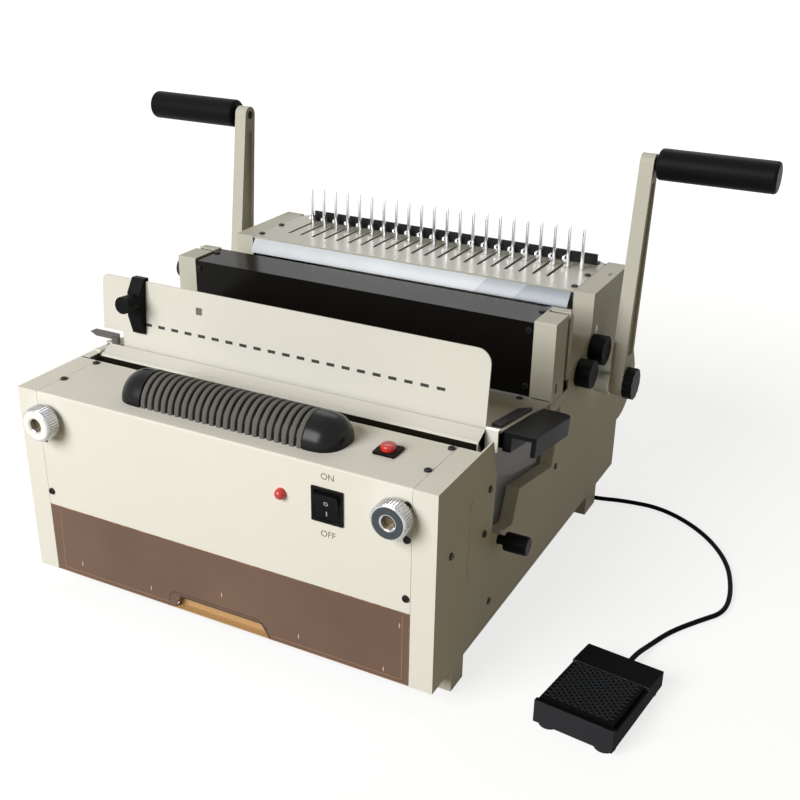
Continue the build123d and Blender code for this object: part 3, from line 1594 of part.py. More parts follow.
def pedal_base():
    """Moulded pedal housing with the hinge pin, and the cord's strain relief at its rear."""
    half = pedal_length / 2
    front, rear = tread_place()
    outline = [(-half, pedal_floor), (half, pedal_floor), (half, pedal_top(half)), (rear, pedal_top(rear)),
               (-half, pedal_top(-half) - pedal_wall_drop / 2)]
    base = profile(outline, both(pedal_width / 2))
    well_floor = pedal_floor + pedal_skin
    inside = pedal_width / 2 - pedal_skin
    base -= block(both(inside), (front - tread_gap, rear), (well_floor, pedal_top(-half) + overrun))
    wall_cut = [(front - tread_gap, pedal_top(front) - pedal_wall_drop), (rear, pedal_top(rear) - pedal_wall_drop / 2),
                (rear, pedal_top(-half)), (front - tread_gap, pedal_top(-half))]
    base -= profile(wall_cut, both(pedal_width))
    base -= block(both(inside), (rear + pedal_skin, half - pedal_skin), (0, pedal_rear_height - pedal_skin))
    pin_y, pin_z = pedal_pin_place()
    base += rod_x(pin_y, pin_z, pedal_pin_radius, both(pedal_width / 2))
    base += rod_y(0, cord_exit_height, pedal_gland_radius, (half - pedal_skin, half + pedal_gland_length))
    return on_pedal(base)


def pedal_tread():
    """Grooved tread that tips about the hinge pin."""
    front, rear = tread_place()
    half = pedal_width / 2 - pedal_skin - tread_gap
    back = rear - tread_gap
    outline = [(front, pedal_top(front)), (back, pedal_top(back)), (back, pedal_top(back) - tread_thick),
               (front, pedal_top(front) - tread_thick)]
    tread = profile(outline, both(half))
    step = (tread_length - 2 * pedal_skin) / tread_groove_count
    for y in row(front + pedal_skin + step / 2, step, tread_groove_count):
        tread -= rod_x(y, pedal_top(y), tread_groove, both(half - pedal_skin))
    pin_y, pin_z = pedal_pin_place()
    return on_pedal(tread - rod_x(pin_y, pin_z, pedal_pin_radius + fit_gap, both(pedal_width)))


def pedal_feet():
    """Bottom plate and four round rubber feet."""
    half = pedal_length / 2
    inset = pedal_foot_radius + pedal_foot_inset
    feet = []
    for side in (-1, 1):
        for end in (-1, 1):
            feet.append(rod_z(side * (pedal_width / 2 - inset), end * (half - inset), pedal_foot_radius,
                              (0, pedal_floor)))
    return group([on_pedal(piece) for piece in feet])


# Pedal cord

def gland_place():
    """Middle of the gland's stem under the machine."""
    start, following = cord_points[0], cord_points[1]
    length = hypot(following[0] - start[0], following[1] - start[1])
    back = cord_gland_length / length
    return start[0] - (following[0] - start[0]) * back, start[1] - (following[1] - start[1]) * back


def cord_gland():
    """Elbow gland under the base, its mouth facing along the cord's first run."""
    gland_x, gland_y = gland_place()
    start, following = cord_points[0], cord_points[1]
    mouth = Plane(origin=start, z_dir=(following[0] - start[0], following[1] - start[1], 0))
    elbow = extrude(mouth * Circle(cord_gland_radius), -cord_gland_length)
    elbow += rod_z(gland_x, gland_y, cord_gland_radius, (start[2] - cord_gland_radius, tray_low))
    return elbow + rod_z(gland_x, gland_y, cord_radius + sheet - fit_gap, (tray_low, tray_high + overrun))


def cord_path():
    """The cord's route: the chosen points, then straight into the pedal's strain relief."""
    half = pedal_length / 2 + pedal_gland_length
    approach = pedal_point(0, half + cord_approach, cord_exit_height)
    finish = pedal_point(0, half, cord_exit_height)
    return [Vector(*point) for point in cord_points + [approach, finish]]


def pedal_cord():
    """Round cord along straight runs joined by tangent arcs."""
    points = cord_path()
    radii = []
    for before, here, after in zip(points, points[1:], points[2:]):
        turn = radians((here - before).get_angle(after - here))
        shorter = min((here - before).length, (after - here).length)
        radii.append(0.45 * shorter / tan(turn / 2))
    print("cord radii", [round(radius, 1) for radius in radii])
    path = FilletPolyline(*points, radius=radii)
    section = Plane(origin=points[0], z_dir=points[1] - points[0]) * Circle(cord_radius)
    cord = sweep(section, path)
    print("cord length", round(path.length, 1), "volume ratio",
          round(cord.volume / (pi * cord_radius ** 2 * path.length), 4))
    return cord


def build_nodes():
    """Every sub-part by name, set out from the middle of the machine's front face."""
    nodes = {
        "base_tray": base_tray(),
        "left_side_cover": side_cover(-1),
        "right_side_cover": side_cover(1),
        "front_cover": front_cover(),
        "side_frames": side_frames(),
        "screws": screws(),
        "carry_handle": carry_handle(),
        "handle_ribs": handle_ribs(),
        "rocker_bezel": rocker_bezel(),
        "rocker": rocker(),
        "indicator_lamp": indicator_lamp(),
        "button_base": button_base(),
        "push_button": push_button(),
        "left_front_knob": front_knob(-1),
        "right_front_knob": front_knob(1),
        "waste_drawer": waste_drawer(),
        "drawer_pull": drawer_pull(),
        "rear_cover": rear_cover(),
        "power_inlet": power_inlet(),
        "control_board": control_board(),
        "deck_cover": deck_cover(),
        "middle_cover": middle_cover(),
        "throat_guide": throat_guide(),
        "paper_rest": paper_rest(),
        "slot_brackets": slot_brackets(),
        "lock_bar": lock_bar(),
        "die_bed": die_bed(),
        "die_block": die_block(),
        "die_end_plate": die_end_plate(),
        "die_handle": die_handle(),
        "punch_pins": punch_pins(),
        "punch_beam": punch_beam(),
        "eccentric_shaft": eccentric_shaft(),
        "drive_gear": drive_gear(),
        "motor_pinion": motor_pinion(),
        "gear_motor": gear_motor(),
        "shaft_bushes": shaft_bushes(),
        "punch_cover": punch_cover(),
        "punch_blocks": punch_blocks(),
        "comb_plate": comb_plate(),
        "comb_front_strip": comb_front_strip(),
        "comb_tines": comb_tines(),
        "hook_carriage": hook_carriage(),
        "rear_guard": rear_guard(),
        "comb_blocks": comb_blocks(),
        "size_knob_lower": size_knob("size_knob_lower"),
        "size_knob_upper": size_knob("size_knob_upper"),
        "arm_shaft": arm_shaft(),
        "lever_arms": lever_arms(),
        "arm_grips": arm_grips(),
        "hub_knobs": hub_knobs(),
        "comb_pinions": comb_pinions(),
        "lock_pin": lock_pin(),
        "margin_guide": margin_guide(),
        "margin_knob": margin_knob(),
        "pedal_base": pedal_base(),
        "pedal_tread": pedal_tread(),
        "pedal_feet": pedal_feet(),
        "cord_gland": cord_gland(),
        "pedal_cord": pedal_cord(),
    }
    return nodes


def origin_shift(nodes):
    """Move that puts the origin under the middle of the whole object, cord aside."""
    boxes = [shape.bounding_box() for name, shape in nodes.items() if name != "pedal_cord"]
    low = [min(getattr(box.min, axis) for box in boxes) for axis in "XY"]
    high = [max(getattr(box.max, axis) for box in boxes) for axis in "XY"]
    return Vector(-(low[0] + high[0]) / 2, -(low[1] + high[1]) / 2, 0)


nodes = build_nodes()
shift = origin_shift(nodes)
print("origin shift", round(shift.X, 3), round(shift.Y, 3))
os.makedirs("parts", exist_ok=True)
for name, shape in nodes.items():
    export_step(Pos(shift.X, shift.Y, 0) * shape, "parts/" + name + ".step")
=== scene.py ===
import json
import logging
import math
from collections.abc import Callable
from dataclasses import dataclass, field, replace
from enum import Enum

import bmesh
import bpy
from bmesh.types import BMesh, BMFace, BMVert
from bpy.types import ID, Material, Mesh, Node, NodeTree, Object
from mathutils import Matrix, Vector
from mathutils.bvhtree import BVHTree


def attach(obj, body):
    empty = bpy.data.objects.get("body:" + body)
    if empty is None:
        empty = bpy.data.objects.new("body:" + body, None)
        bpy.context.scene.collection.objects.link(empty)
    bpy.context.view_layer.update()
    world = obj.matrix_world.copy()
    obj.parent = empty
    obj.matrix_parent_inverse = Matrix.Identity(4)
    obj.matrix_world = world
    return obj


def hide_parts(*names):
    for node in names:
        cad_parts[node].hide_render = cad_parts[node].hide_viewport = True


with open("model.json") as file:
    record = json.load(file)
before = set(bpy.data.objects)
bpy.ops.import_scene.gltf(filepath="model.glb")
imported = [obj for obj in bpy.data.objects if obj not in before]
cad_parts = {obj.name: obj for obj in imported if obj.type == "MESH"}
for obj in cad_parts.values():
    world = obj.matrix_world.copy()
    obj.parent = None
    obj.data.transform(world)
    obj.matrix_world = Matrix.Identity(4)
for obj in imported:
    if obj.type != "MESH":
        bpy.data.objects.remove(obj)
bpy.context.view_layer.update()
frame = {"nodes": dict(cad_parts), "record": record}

LOG = logging.getLogger("comb_binder")
MM = 0.001
# The CAD's sizes are set out from the middle of the front face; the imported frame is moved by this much.
ORIGIN = Vector((-5.874 * MM, -235.0 * MM, 0.0))
FORWARD = Vector((0.0, -1.0, 0.0))
UP = Vector((0.0, 0.0, 1.0))
SIDEWAYS = Vector((1.0, 0.0, 0.0))
IDENTITY = Matrix.Identity(4)
Triple = tuple[float, float, float]
Colour = tuple[float, float, float, float]
Key = str | int
WHITE = (1.0, 1.0, 1.0, 1.0)
DUST = (0.55, 0.53, 0.48, 1.0)
# Edges sharper than this many degrees stay sharp when a shape is smoothed.
CREASE = 35.0
# Edges of a CAD node that are sharper than this many degrees are rounded.
ROUNDED_FROM = 28.0
# Pitch of the comb's slots and tines in millimetres.
PITCH = 14.2875


class Axis(Enum):
    """Direction of a pattern that runs one way."""

    NONE = (1.0, 1.0, 1.0)
    ALONG_Y = (1.0, 0.03, 1.0)
    ALONG_Z = (1.0, 1.0, 0.03)


# Places, objects and meshes

def at(x: float, y: float, z: float) -> Vector:
    """Place on the machine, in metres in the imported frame.

    Args:
        x: millimetres to the right of the machine's middle.
        y: millimetres behind its front face.
        z: millimetres over the floor.

    Returns:
        The place.
    """
    return Vector((x, y, z)) * MM + ORIGIN


def turned_forward(x: float, y: float, z: float) -> Matrix:
    """Move that turns a part built along Z to point out of the front, at a place in millimetres."""
    return Matrix.Translation(at(x, y, z)) @ Matrix.Rotation(math.radians(90), 4, "X")


def linked(name: str, data: ID) -> Object:
    """New object in the scene."""
    made = bpy.data.objects.new(name, data)
    bpy.context.scene.collection.objects.link(made)
    return made


def evaluated(holder: Object) -> Mesh:
    """Mesh that a helper object's modifiers or text come to; the helper goes."""
    bpy.context.view_layer.update()
    seen = holder.evaluated_get(bpy.context.evaluated_depsgraph_get())
    mesh = bpy.data.meshes.new_from_object(seen)
    bpy.data.objects.remove(holder)
    return mesh


def as_mesh(bm: BMesh, name: str) -> Mesh:
    """Turn a working mesh into a plain one."""
    mesh = bpy.data.meshes.new(name)
    bm.to_mesh(mesh)
    bm.free()
    return mesh


def smoothed(mesh: Mesh, angle: float = CREASE) -> Mesh:
    """Shade a mesh smooth where its faces meet at less than an angle in degrees."""
    for polygon in mesh.polygons:
        polygon.use_smooth = True
    mesh.set_sharp_from_angle(angle=math.radians(angle))
    return mesh


def merged(name: str, meshes: list[Mesh], move: Matrix = IDENTITY) -> Mesh:
    """Join meshes into one and put it in its place.

    Args:
        name: the new mesh's name.
        meshes: the meshes, in the piece's own space.
        move: the way to its place in the frame.

    Returns:
        The joined mesh, smoothed where its faces meet gently.
    """
    bm = bmesh.new()
    for mesh in meshes:
        bm.from_mesh(mesh)
    bm.transform(move)
    return smoothed(as_mesh(bm, name))


def facing_points(places: list[tuple[Vector, Vector]]) -> Mesh:
    """Mesh of loose points, each with the way that its copy looks."""
    mesh = bpy.data.meshes.new("places")
    mesh.from_pydata([tuple(place) for place, _ in places], [], [])
    facing = mesh.attributes.new("facing", "FLOAT_VECTOR", "POINT")
    for index, (_, normal) in enumerate(places):
        facing.data[index].vector = normal
    return mesh


# Solids

def bridge(bm: BMesh, first: list[BMVert], last: list[BMVert]) -> list[BMFace]:
    """Join two closed rows of points with faces.

    Args:
        bm: the mesh.
        first: one row, or a single point.
        last: the other row, or a single point.

    Returns:
        The new faces.
    """
    count = max(len(first), len(last))
    faces = []
    for index in range(count):
        after = (index + 1) % count
        if len(first) == 1:
            corners = (first[0], last[after], last[index])
        elif len(last) == 1:
            corners = (first[index], first[after], last[0])
        else:
            corners = (first[index], first[after], last[after], last[index])
        faces.append(bm.faces.new(corners))
    return faces


def prism(bm: BMesh, outline: list[Vector], depth: Vector) -> None:
    """Add a closed prism to a mesh.

    Args:
        bm: the mesh.
        outline: the points of one end, in order, in metres.
        depth: the way to the other end, in millimetres.
    """
    first = [bm.verts.new(point) for point in outline]
    last = [bm.verts.new(point + depth * MM) for point in outline]
    faces = [bm.faces.new(first[::-1]), bm.faces.new(last), *bridge(bm, first, last)]
    bmesh.ops.recalc_face_normals(bm, faces=faces)


def slab(bm: BMesh, low: Triple, high: Triple, base: Vector = ORIGIN) -> None:
    """Add a box between two corners, in millimetres from a base point given in metres."""
    (x0, y0, z0), (x1, y1, z1) = low, high
    prism(bm, [Vector(corner) * MM + base for corner in ((x0, y0, z0), (x1, y0, z0), (x1, y1, z0), (x0, y1, z0))],
          UP * (z1 - z0))


def ring(bm: BMesh, radius: float, height: float, segments: int) -> list[BMVert]:
    """Row of points round the Z axis, or the one point on it, in millimetres."""
    if radius == 0.0:
        return [bm.verts.new((0.0, 0.0, height * MM))]
    angles = [2.0 * math.pi * index / segments for index in range(segments)]
    return [bm.verts.new((radius * MM * math.cos(a), radius * MM * math.sin(a), height * MM)) for a in angles]


def lathe(profile: list[tuple[float, float]], segments: int) -> Mesh:
    """Turned solid round the Z axis.

    Args:
        profile: radius and height pairs in millimetres, from the bottom's middle to the top's middle.
        segments: faces round the axis.

    Returns:
        The closed mesh, in metres.
    """
    bm = bmesh.new()
    rings = [ring(bm, radius, height, segments) for radius, height in profile]
    for low, high in zip(rings, rings[1:]):
        bridge(bm, low, high)
    bmesh.ops.recalc_face_normals(bm, faces=bm.faces)
    return as_mesh(bm, "turned")


def soft_edges(bm: BMesh, width: float, segments: int = 2, angle: float = 30.0) -> list:
    """Round the sharp edges of a mesh.

    Args:
        bm: the mesh.
        width: the rounding's width in millimetres.
        segments: faces across each rounding.
        angle: edges sharper than this many degrees are rounded.

    Returns:
        The faces of the roundings.
    """
    sharp = [edge for edge in bm.edges if edge.is_manifold and edge.calc_face_angle(0.0) > math.radians(angle)]
    return bmesh.ops.bevel(bm, geom=sharp, offset=width * MM, offset_type="OFFSET", segments=segments, profile=0.5,
                           affect="EDGES", clamp_overlap=True)["faces"]


def ribbon(bm: BMesh, path: list[tuple[float, float]], width: float, front: float,
           root: float = 0.3) -> None:
    """Thin raised lines along a path on an upright plane.

    Args:
        bm: the mesh that they are added to.
        path: millimetres across and up, joined in order.
        width: the lines' width in millimetres.
        front: how far the lines stand in front of the machine's front face.
        root: how far they reach in behind it.
    """
    for (x0, z0), (x1, z1) in zip(path, path[1:]):
        along = Vector((x1 - x0, 0.0, z1 - z0)).normalized()
        side = Vector((-along.z, 0.0, along.x)) * (width / 2)
        first = Vector((x0, -front, z0)) - along * (width / 2)
        last = Vector((x1, -front, z1)) + along * (width / 2)
        corners = (first - side, last - side, last + side, first + side)
        prism(bm, [at(*corner) for corner in corners], -FORWARD * (front + root))


# Nodes

def set_inputs(node: Node, values: dict[Key, object]) -> None:
    """Set a node's constants, by the names or numbers of its inputs."""
    for key, value in values.items():
        node.inputs[key].default_value = value


def add_node(tree: NodeTree, kind: str, values: dict[Key, object] | None = None, **settings: object) -> Node:
    """Add a node.

    Args:
        tree: the tree.
        kind: the node's type.
        values: its constants, by the names or numbers of its inputs.
        settings: its own properties, such as an operation.

    Returns:
        The new node.
    """
    node = tree.nodes.new(kind)
    for name, setting in settings.items():
        setattr(node, name, setting)
    set_inputs(node, values or {})
    return node


def wire(tree: NodeTree, *links: tuple[Node, Key, Node, Key]) -> None:
    """Join nodes; a link is a node, its output, the next node and its input."""
    for source, output, target, entry in links:
        tree.links.new(source.outputs[output], target.inputs[entry])


def open_group(name: str, kind: str, inputs: dict[str, str], outputs: dict[str, str]) -> tuple:
    """Open a node group with its sockets.

    Args:
        name: the group's name.
        kind: Shader or Geometry.
        inputs: the socket type of each input.
        outputs: the socket type of each output.

    Returns:
        The tree, its input node and its output node.
    """
    tree = bpy.data.node_groups.new(name, kind + "NodeTree")
    for way, sockets in (("INPUT", inputs), ("OUTPUT", outputs)):
        for label, socket in sockets.items():
            tree.interface.new_socket(name=label, in_out=way, socket_type="NodeSocket" + socket)
    return tree, tree.nodes.new("NodeGroupInput"), tree.nodes.new("NodeGroupOutput")


class ShaderGroups:
    """The effects that several finishes share, each built once."""

    def __init__(self) -> None:
        """Build every group."""
        self.grain = self.build_grain()
        self.wear_and_highlight = self.build_wear_and_highlight()
        self.dust = self.build_dust()

    @staticmethod
    def build_grain() -> NodeTree:
        """Fine grain of a coat or a moulding, with a slow mottle in its colour."""
        tree, start, end = open_group(
            "surface_grain", "Shader",
            {"Vector": "Vector", "Base": "Color", "Scale": "Float", "Mottle": "Float", "Roughness": "Float",
             "Roughness Spread": "Float"},
            {"Color": "Color", "Height": "Float", "Roughness": "Float"})
        fine = add_node(tree, "ShaderNodeTexNoise", {"Detail": 3.0})
        slow = add_node(tree, "ShaderNodeTexNoise", {"Scale": 14.0, "Detail": 5.0})
        centre = add_node(tree, "ShaderNodeMath", {1: 0.5}, operation="SUBTRACT")
        shade = add_node(tree, "ShaderNodeMath", {2: 1.0}, operation="MULTIPLY_ADD")
        rough = add_node(tree, "ShaderNodeMath", operation="MULTIPLY_ADD")
        tint = add_node(tree, "ShaderNodeVectorMath", operation="SCALE")
        wire(tree, (start, "Vector", fine, "Vector"), (start, "Scale", fine, "Scale"),
             (start, "Vector", slow, "Vector"), (slow, "Fac", centre, 0), (centre, 0, shade, 0),
             (start, "Mottle", shade, 1), (start, "Base", tint, 0), (shade, 0, tint, "Scale"),
             (centre, 0, rough, 0), (start, "Roughness Spread", rough, 1), (start, "Roughness", rough, 2),
             (tint, 0, end, "Color"), (fine, "Fac", end, "Height"), (rough, 0, end, "Roughness"))
        return tree

    @staticmethod
    def open_cover(name: str, noise: dict[str, float]) -> tuple:
        """Group that lays a second colour over a base where a mask, still to be joined, is on.

        Args:
            name: the group's name.
            noise: constants of the noise that breaks the cover up.

        Returns:
            The tree, its noise, and the product that takes the mask and the noise.
        """
        tree, start, end = open_group(
            name, "Shader", {"Vector": "Vector", "Base": "Color", "Cover": "Color", "Amount": "Float"},
            {"Color": "Color", "Mask": "Float"})
        patches = add_node(tree, "ShaderNodeTexNoise", noise)
        product = add_node(tree, "ShaderNodeMath", operation="MULTIPLY")
        scaled = add_node(tree, "ShaderNodeMath", operation="MULTIPLY")
        mix = add_node(tree, "ShaderNodeMix", data_type="RGBA")
        wire(tree, (start, "Vector", patches, "Vector"), (product, 0, scaled, 0), (start, "Amount", scaled, 1),
             (scaled, 0, mix, 0), (start, "Base", mix, 6), (start, "Cover", mix, 7), (mix, 2, end, "Color"),
             (scaled, 0, end, "Mask"))
        return tree, patches, product

    def build_wear_and_highlight(self) -> NodeTree:
        """Rubbed edges and painted edge highlights: the rounded edge faces show another colour, broken up by noise.
        """
        tree, patches, product = self.open_cover("edge_wear_and_highlight", {"Scale": 120.0, "Detail": 4.0})
        edge = add_node(tree, "ShaderNodeAttribute", attribute_name="rounded_edge")
        spread = add_node(tree, "ShaderNodeMapRange", {"From Min": 0.35, "From Max": 0.65})
        wire(tree, (patches, "Fac", spread, "Value"), (edge, "Fac", product, 0), (spread, "Result", product, 1))
        return tree

    def build_dust(self) -> NodeTree:
        """Thin dust that lies on faces that look up."""
        tree, cloud, product = self.open_cover("settled_dust", {"Scale": 30.0, "Detail": 6.0})
        geometry = tree.nodes.new("ShaderNodeNewGeometry")
        split = tree.nodes.new("ShaderNodeSeparateXYZ")
        level = add_node(tree, "ShaderNodeMapRange", {"From Min": 0.4, "From Max": 1.0})
        wire(tree, (geometry, "Normal", split, 0), (split, "Z", level, "Value"), (level, "Result", product, 0),
             (cloud, "Fac", product, 1))
        return tree


@dataclass(frozen=True)
class Finish:
    """A surface finish, built as one material from the shared groups."""

    name: str
    colour: Triple
    roughness: float = 0.5
    metallic: float = 0.0
    coat: float = 0.0
    grain_scale: float = 900.0
    grain_height: float = 0.05
    mottle: float = 0.06
    spread: float = 0.12
    # Colour and amount of the rounded edges' tint: rubbed edges, and painted edge highlight, strongest as the orange
    # edges of the smoked plastic and the pale edges of the pedal.
    wear_and_highlight_colour: Triple = (0.7, 0.7, 0.68)
    wear_and_highlight: float = 0.0
    dust: float = 0.0
    run: Axis = Axis.NONE
    transmission: float = 0.0
    ior: float = 1.5
    specular: float = 0.5

    def build(self, groups: ShaderGroups) -> Material:
        """Make the material.

        Args:
            groups: the shared shader groups.

        Returns:
            The finished material.
        """
        material = bpy.data.materials.new(self.name)
        material.use_nodes = True
        tree = material.node_tree
        shader = tree.nodes["Principled BSDF"]
        set_inputs(shader, {"Metallic": self.metallic, "IOR": self.ior, "Specular IOR Level": self.specular,
                            "Transmission Weight": self.transmission, "Coat Weight": self.coat,
                            "Coat Roughness": 0.08})
        place = tree.nodes.new("ShaderNodeTexCoord")
        stretch = add_node(tree, "ShaderNodeMapping", {"Scale": self.run.value})
        grain = add_node(tree, "ShaderNodeGroup", node_tree=groups.grain)
        set_inputs(grain, {"Base": (*self.colour, 1.0), "Scale": self.grain_scale, "Mottle": self.mottle,
                           "Roughness": self.roughness, "Roughness Spread": self.spread})
        wear_and_highlight = add_node(tree, "ShaderNodeGroup", node_tree=groups.wear_and_highlight)
        set_inputs(wear_and_highlight, {"Cover": (*self.wear_and_highlight_colour, 1.0), "Amount": self.wear_and_highlight})
        dust = add_node(tree, "ShaderNodeGroup", node_tree=groups.dust)
        set_inputs(dust, {"Cover": DUST, "Amount": self.dust})
        bump = add_node(tree, "ShaderNodeBump", {"Strength": self.grain_height, "Distance": 0.001})
        wire(tree, (place, "Object", stretch, "Vector"),
             *((stretch, "Vector", group, "Vector") for group in (grain, wear_and_highlight, dust)),
             (grain, "Color", wear_and_highlight, "Base"), (wear_and_highlight, "Color", dust, "Base"), (dust, "Color", shader, "Base Color"),
             (grain, "Roughness", shader, "Roughness"), (grain, "Height", bump, "Height"),
             (bump, "Normal", shader, "Normal"))
        return material


IVORY = Finish("ivory_paint", (0.83, 0.815, 0.74), 0.55, grain_scale=1500.0, grain_height=0.10, mottle=0.04,
               wear_and_highlight_colour=(0.90, 0.88, 0.80), wear_and_highlight=0.3, dust=0.06, specular=0.12)
# Pale plain colour with a strong mottle: painted reflection of the polished strip.
STRIP_REFLECTION = Finish("strip_painted_reflection", (0.60, 0.64, 0.68), 0.3, grain_height=0.1, grain_scale=90.0, mottle=0.5)
FINISHES = {finish.name: finish for finish in (
    IVORY,
    # Darker copies of the ivory paint, painted shade: lighter on the paper rest and the throat, deeper on the deck,
    # the rear blocks, the arms and the glossier comb plate.
    replace(IVORY, name="ivory_rest_painted_shade", colour=(0.72, 0.71, 0.645), roughness=0.5, grain_height=0.08, mottle=0.08,
            dust=0.04),
    replace(IVORY, name="ivory_rear_painted_shade", colour=(0.58, 0.57, 0.49), roughness=0.5, mottle=0.06,
            wear_and_highlight_colour=(0.78, 0.77, 0.70), wear_and_highlight=0.35, dust=0.05, specular=0.15),
    replace(IVORY, name="ivory_gloss_painted_shade", colour=(0.50, 0.49, 0.41), roughness=0.26, grain_height=0.04, dust=0.0,
            specular=0.45),
    # Very dark steel for the frames deep inside the casing: painted shade of the interior.
    Finish("inner_steel", (0.10, 0.095, 0.09), 0.5, 0.6, run=Axis.ALONG_Y, mottle=0.2),
    Finish("black_gloss", (0.006, 0.0055, 0.005), 0.16, grain_height=0.02, grain_scale=300.0,
           wear_and_highlight_colour=(0.12, 0.10, 0.08), wear_and_highlight=0.35, dust=0.02, specular=0.10),
    Finish("black_satin", (0.016, 0.016, 0.016), 0.42, grain_height=0.06, wear_and_highlight_colour=(0.14, 0.14, 0.14), wear_and_highlight=0.4,
           dust=0.03, specular=0.15),
    Finish("screw_black", (0.02, 0.02, 0.02), 0.38, 0.4, wear_and_highlight_colour=(0.25, 0.25, 0.25), wear_and_highlight=0.3, specular=0.2),
    Finish("black_plastic", (0.007, 0.007, 0.0075), 0.42, grain_height=0.12, wear_and_highlight_colour=(0.035, 0.035, 0.037), wear_and_highlight=0.5,
           dust=0.008, specular=0.05),
    Finish("pedal_black", (0.006, 0.0058, 0.006), grain_height=0.15, wear_and_highlight_colour=(0.05, 0.05, 0.055), wear_and_highlight=0.6,
           specular=0.01),
    Finish("pedal_edge_highlight", (0.16, 0.165, 0.18), 0.4, mottle=0.5, grain_height=0.15),
    Finish("pedal_front", (0.030, 0.031, 0.036), grain_height=0.15, mottle=0.3, specular=0.05),
    Finish("handle_black", (0.006, 0.006, 0.007), 0.24, grain_height=0.03, specular=0.2, wear_and_highlight_colour=(0.05, 0.05, 0.05),
           wear_and_highlight=0.2),
    Finish("rib_rubber", (0.12, 0.117, 0.105), 0.7, grain_height=0.5, grain_scale=520.0, dust=0.08, mottle=0.25,
           specular=0.2),
    Finish("smoked_plastic", (0.195, 0.120, 0.085), 0.2, transmission=0.12, mottle=0.5, grain_height=0.0,
           grain_scale=40.0, wear_and_highlight_colour=(0.62, 0.30, 0.13), wear_and_highlight=0.9, ior=1.49, specular=0.2),
    Finish("smoked_dark", (0.07, 0.042, 0.03), 0.35, mottle=0.3, specular=0.2),
    Finish("amber_plastic", (0.55, 0.35, 0.165), 0.3, mottle=0.15, grain_height=0.02, specular=0.2),
    # Painted highlights on the drawer: the lit line along its rim and its small glints.
    Finish("amber_rim_highlight", (0.40, 0.20, 0.09), 0.3, mottle=0.5),
    Finish("glint", (0.85, 0.55, 0.35), 0.3, mottle=0.3),
    Finish("chrome_metal", (0.56, 0.56, 0.57), 0.14, 1.0, grain_height=0.02, mottle=0.1),
    # Knob faces: a dark and a bright painted reflection.
    Finish("face_painted_dark_reflection", (0.06, 0.075, 0.085), 0.3, 0.4, mottle=0.9, specular=0.3),
    Finish("face_painted_bright_reflection", (0.92, 0.91, 0.87), 0.3, 0.2, mottle=0.1),
    Finish("socket_brown", (0.13, 0.10, 0.055), 0.4, 0.4, mottle=0.5),
    Finish("polished_steel", (0.66, 0.67, 0.69), 0.22, 1.0, grain_height=0.02, mottle=0.1),
    Finish("bright_metal", (0.88, 0.89, 0.91), 0.25, 0.8, grain_height=0.02, mottle=0.1),
    STRIP_REFLECTION,
    replace(STRIP_REFLECTION, name="strip_painted_reflection_middle", colour=(0.42, 0.46, 0.51)),
    replace(STRIP_REFLECTION, name="strip_painted_reflection_dark", colour=(0.27, 0.31, 0.36)),
    Finish("blade_grey", (0.13, 0.115, 0.11), 0.4, 0.3, mottle=0.3, specular=0.3),
    Finish("plate_mauve", (0.115, 0.10, 0.10), 0.45, 0.3, run=Axis.ALONG_Z, mottle=0.3, specular=0.3),
    Finish("die_steel", (0.24, 0.24, 0.25), 0.36, 0.9, run=Axis.ALONG_Y, mottle=0.3, wear_and_highlight=0.3),
    Finish("pale_plastic", (0.62, 0.64, 0.58), 0.35, 0.9, mottle=0.1, specular=0.3),
    Finish("tip_beige", (0.20, 0.19, 0.16), mottle=0.3),
    # Black of the sheet in the throat's gap: painted shade.
    Finish("gap_shade_black", (0.008, 0.007, 0.003), 0.7, mottle=0.4, specular=0.1),
    Finish("red_plastic", (0.60, 0.025, 0.02), 0.22, coat=0.2, grain_height=0.02),
    Finish("bronze", (0.55, 0.38, 0.20), 0.35, 1.0),
    Finish("board_green", (0.03, 0.17, 0.07), 0.35, coat=0.2),
    Finish("motor_grey", (0.18, 0.19, 0.20), 0.45, 0.3, grain_height=0.1),
    Finish("cord_rubber", (0.004, 0.004, 0.0045), specular=0.03),
    Finish("tread_rubber", (0.022, 0.026, 0.031), grain_height=0.1, specular=0.08),
    Finish("mark_white", (0.50, 0.50, 0.49)),
    Finish("mark_grey", (0.13, 0.125, 0.10)),
    Finish("scale_ink", (0.025, 0.025, 0.02)),
)}


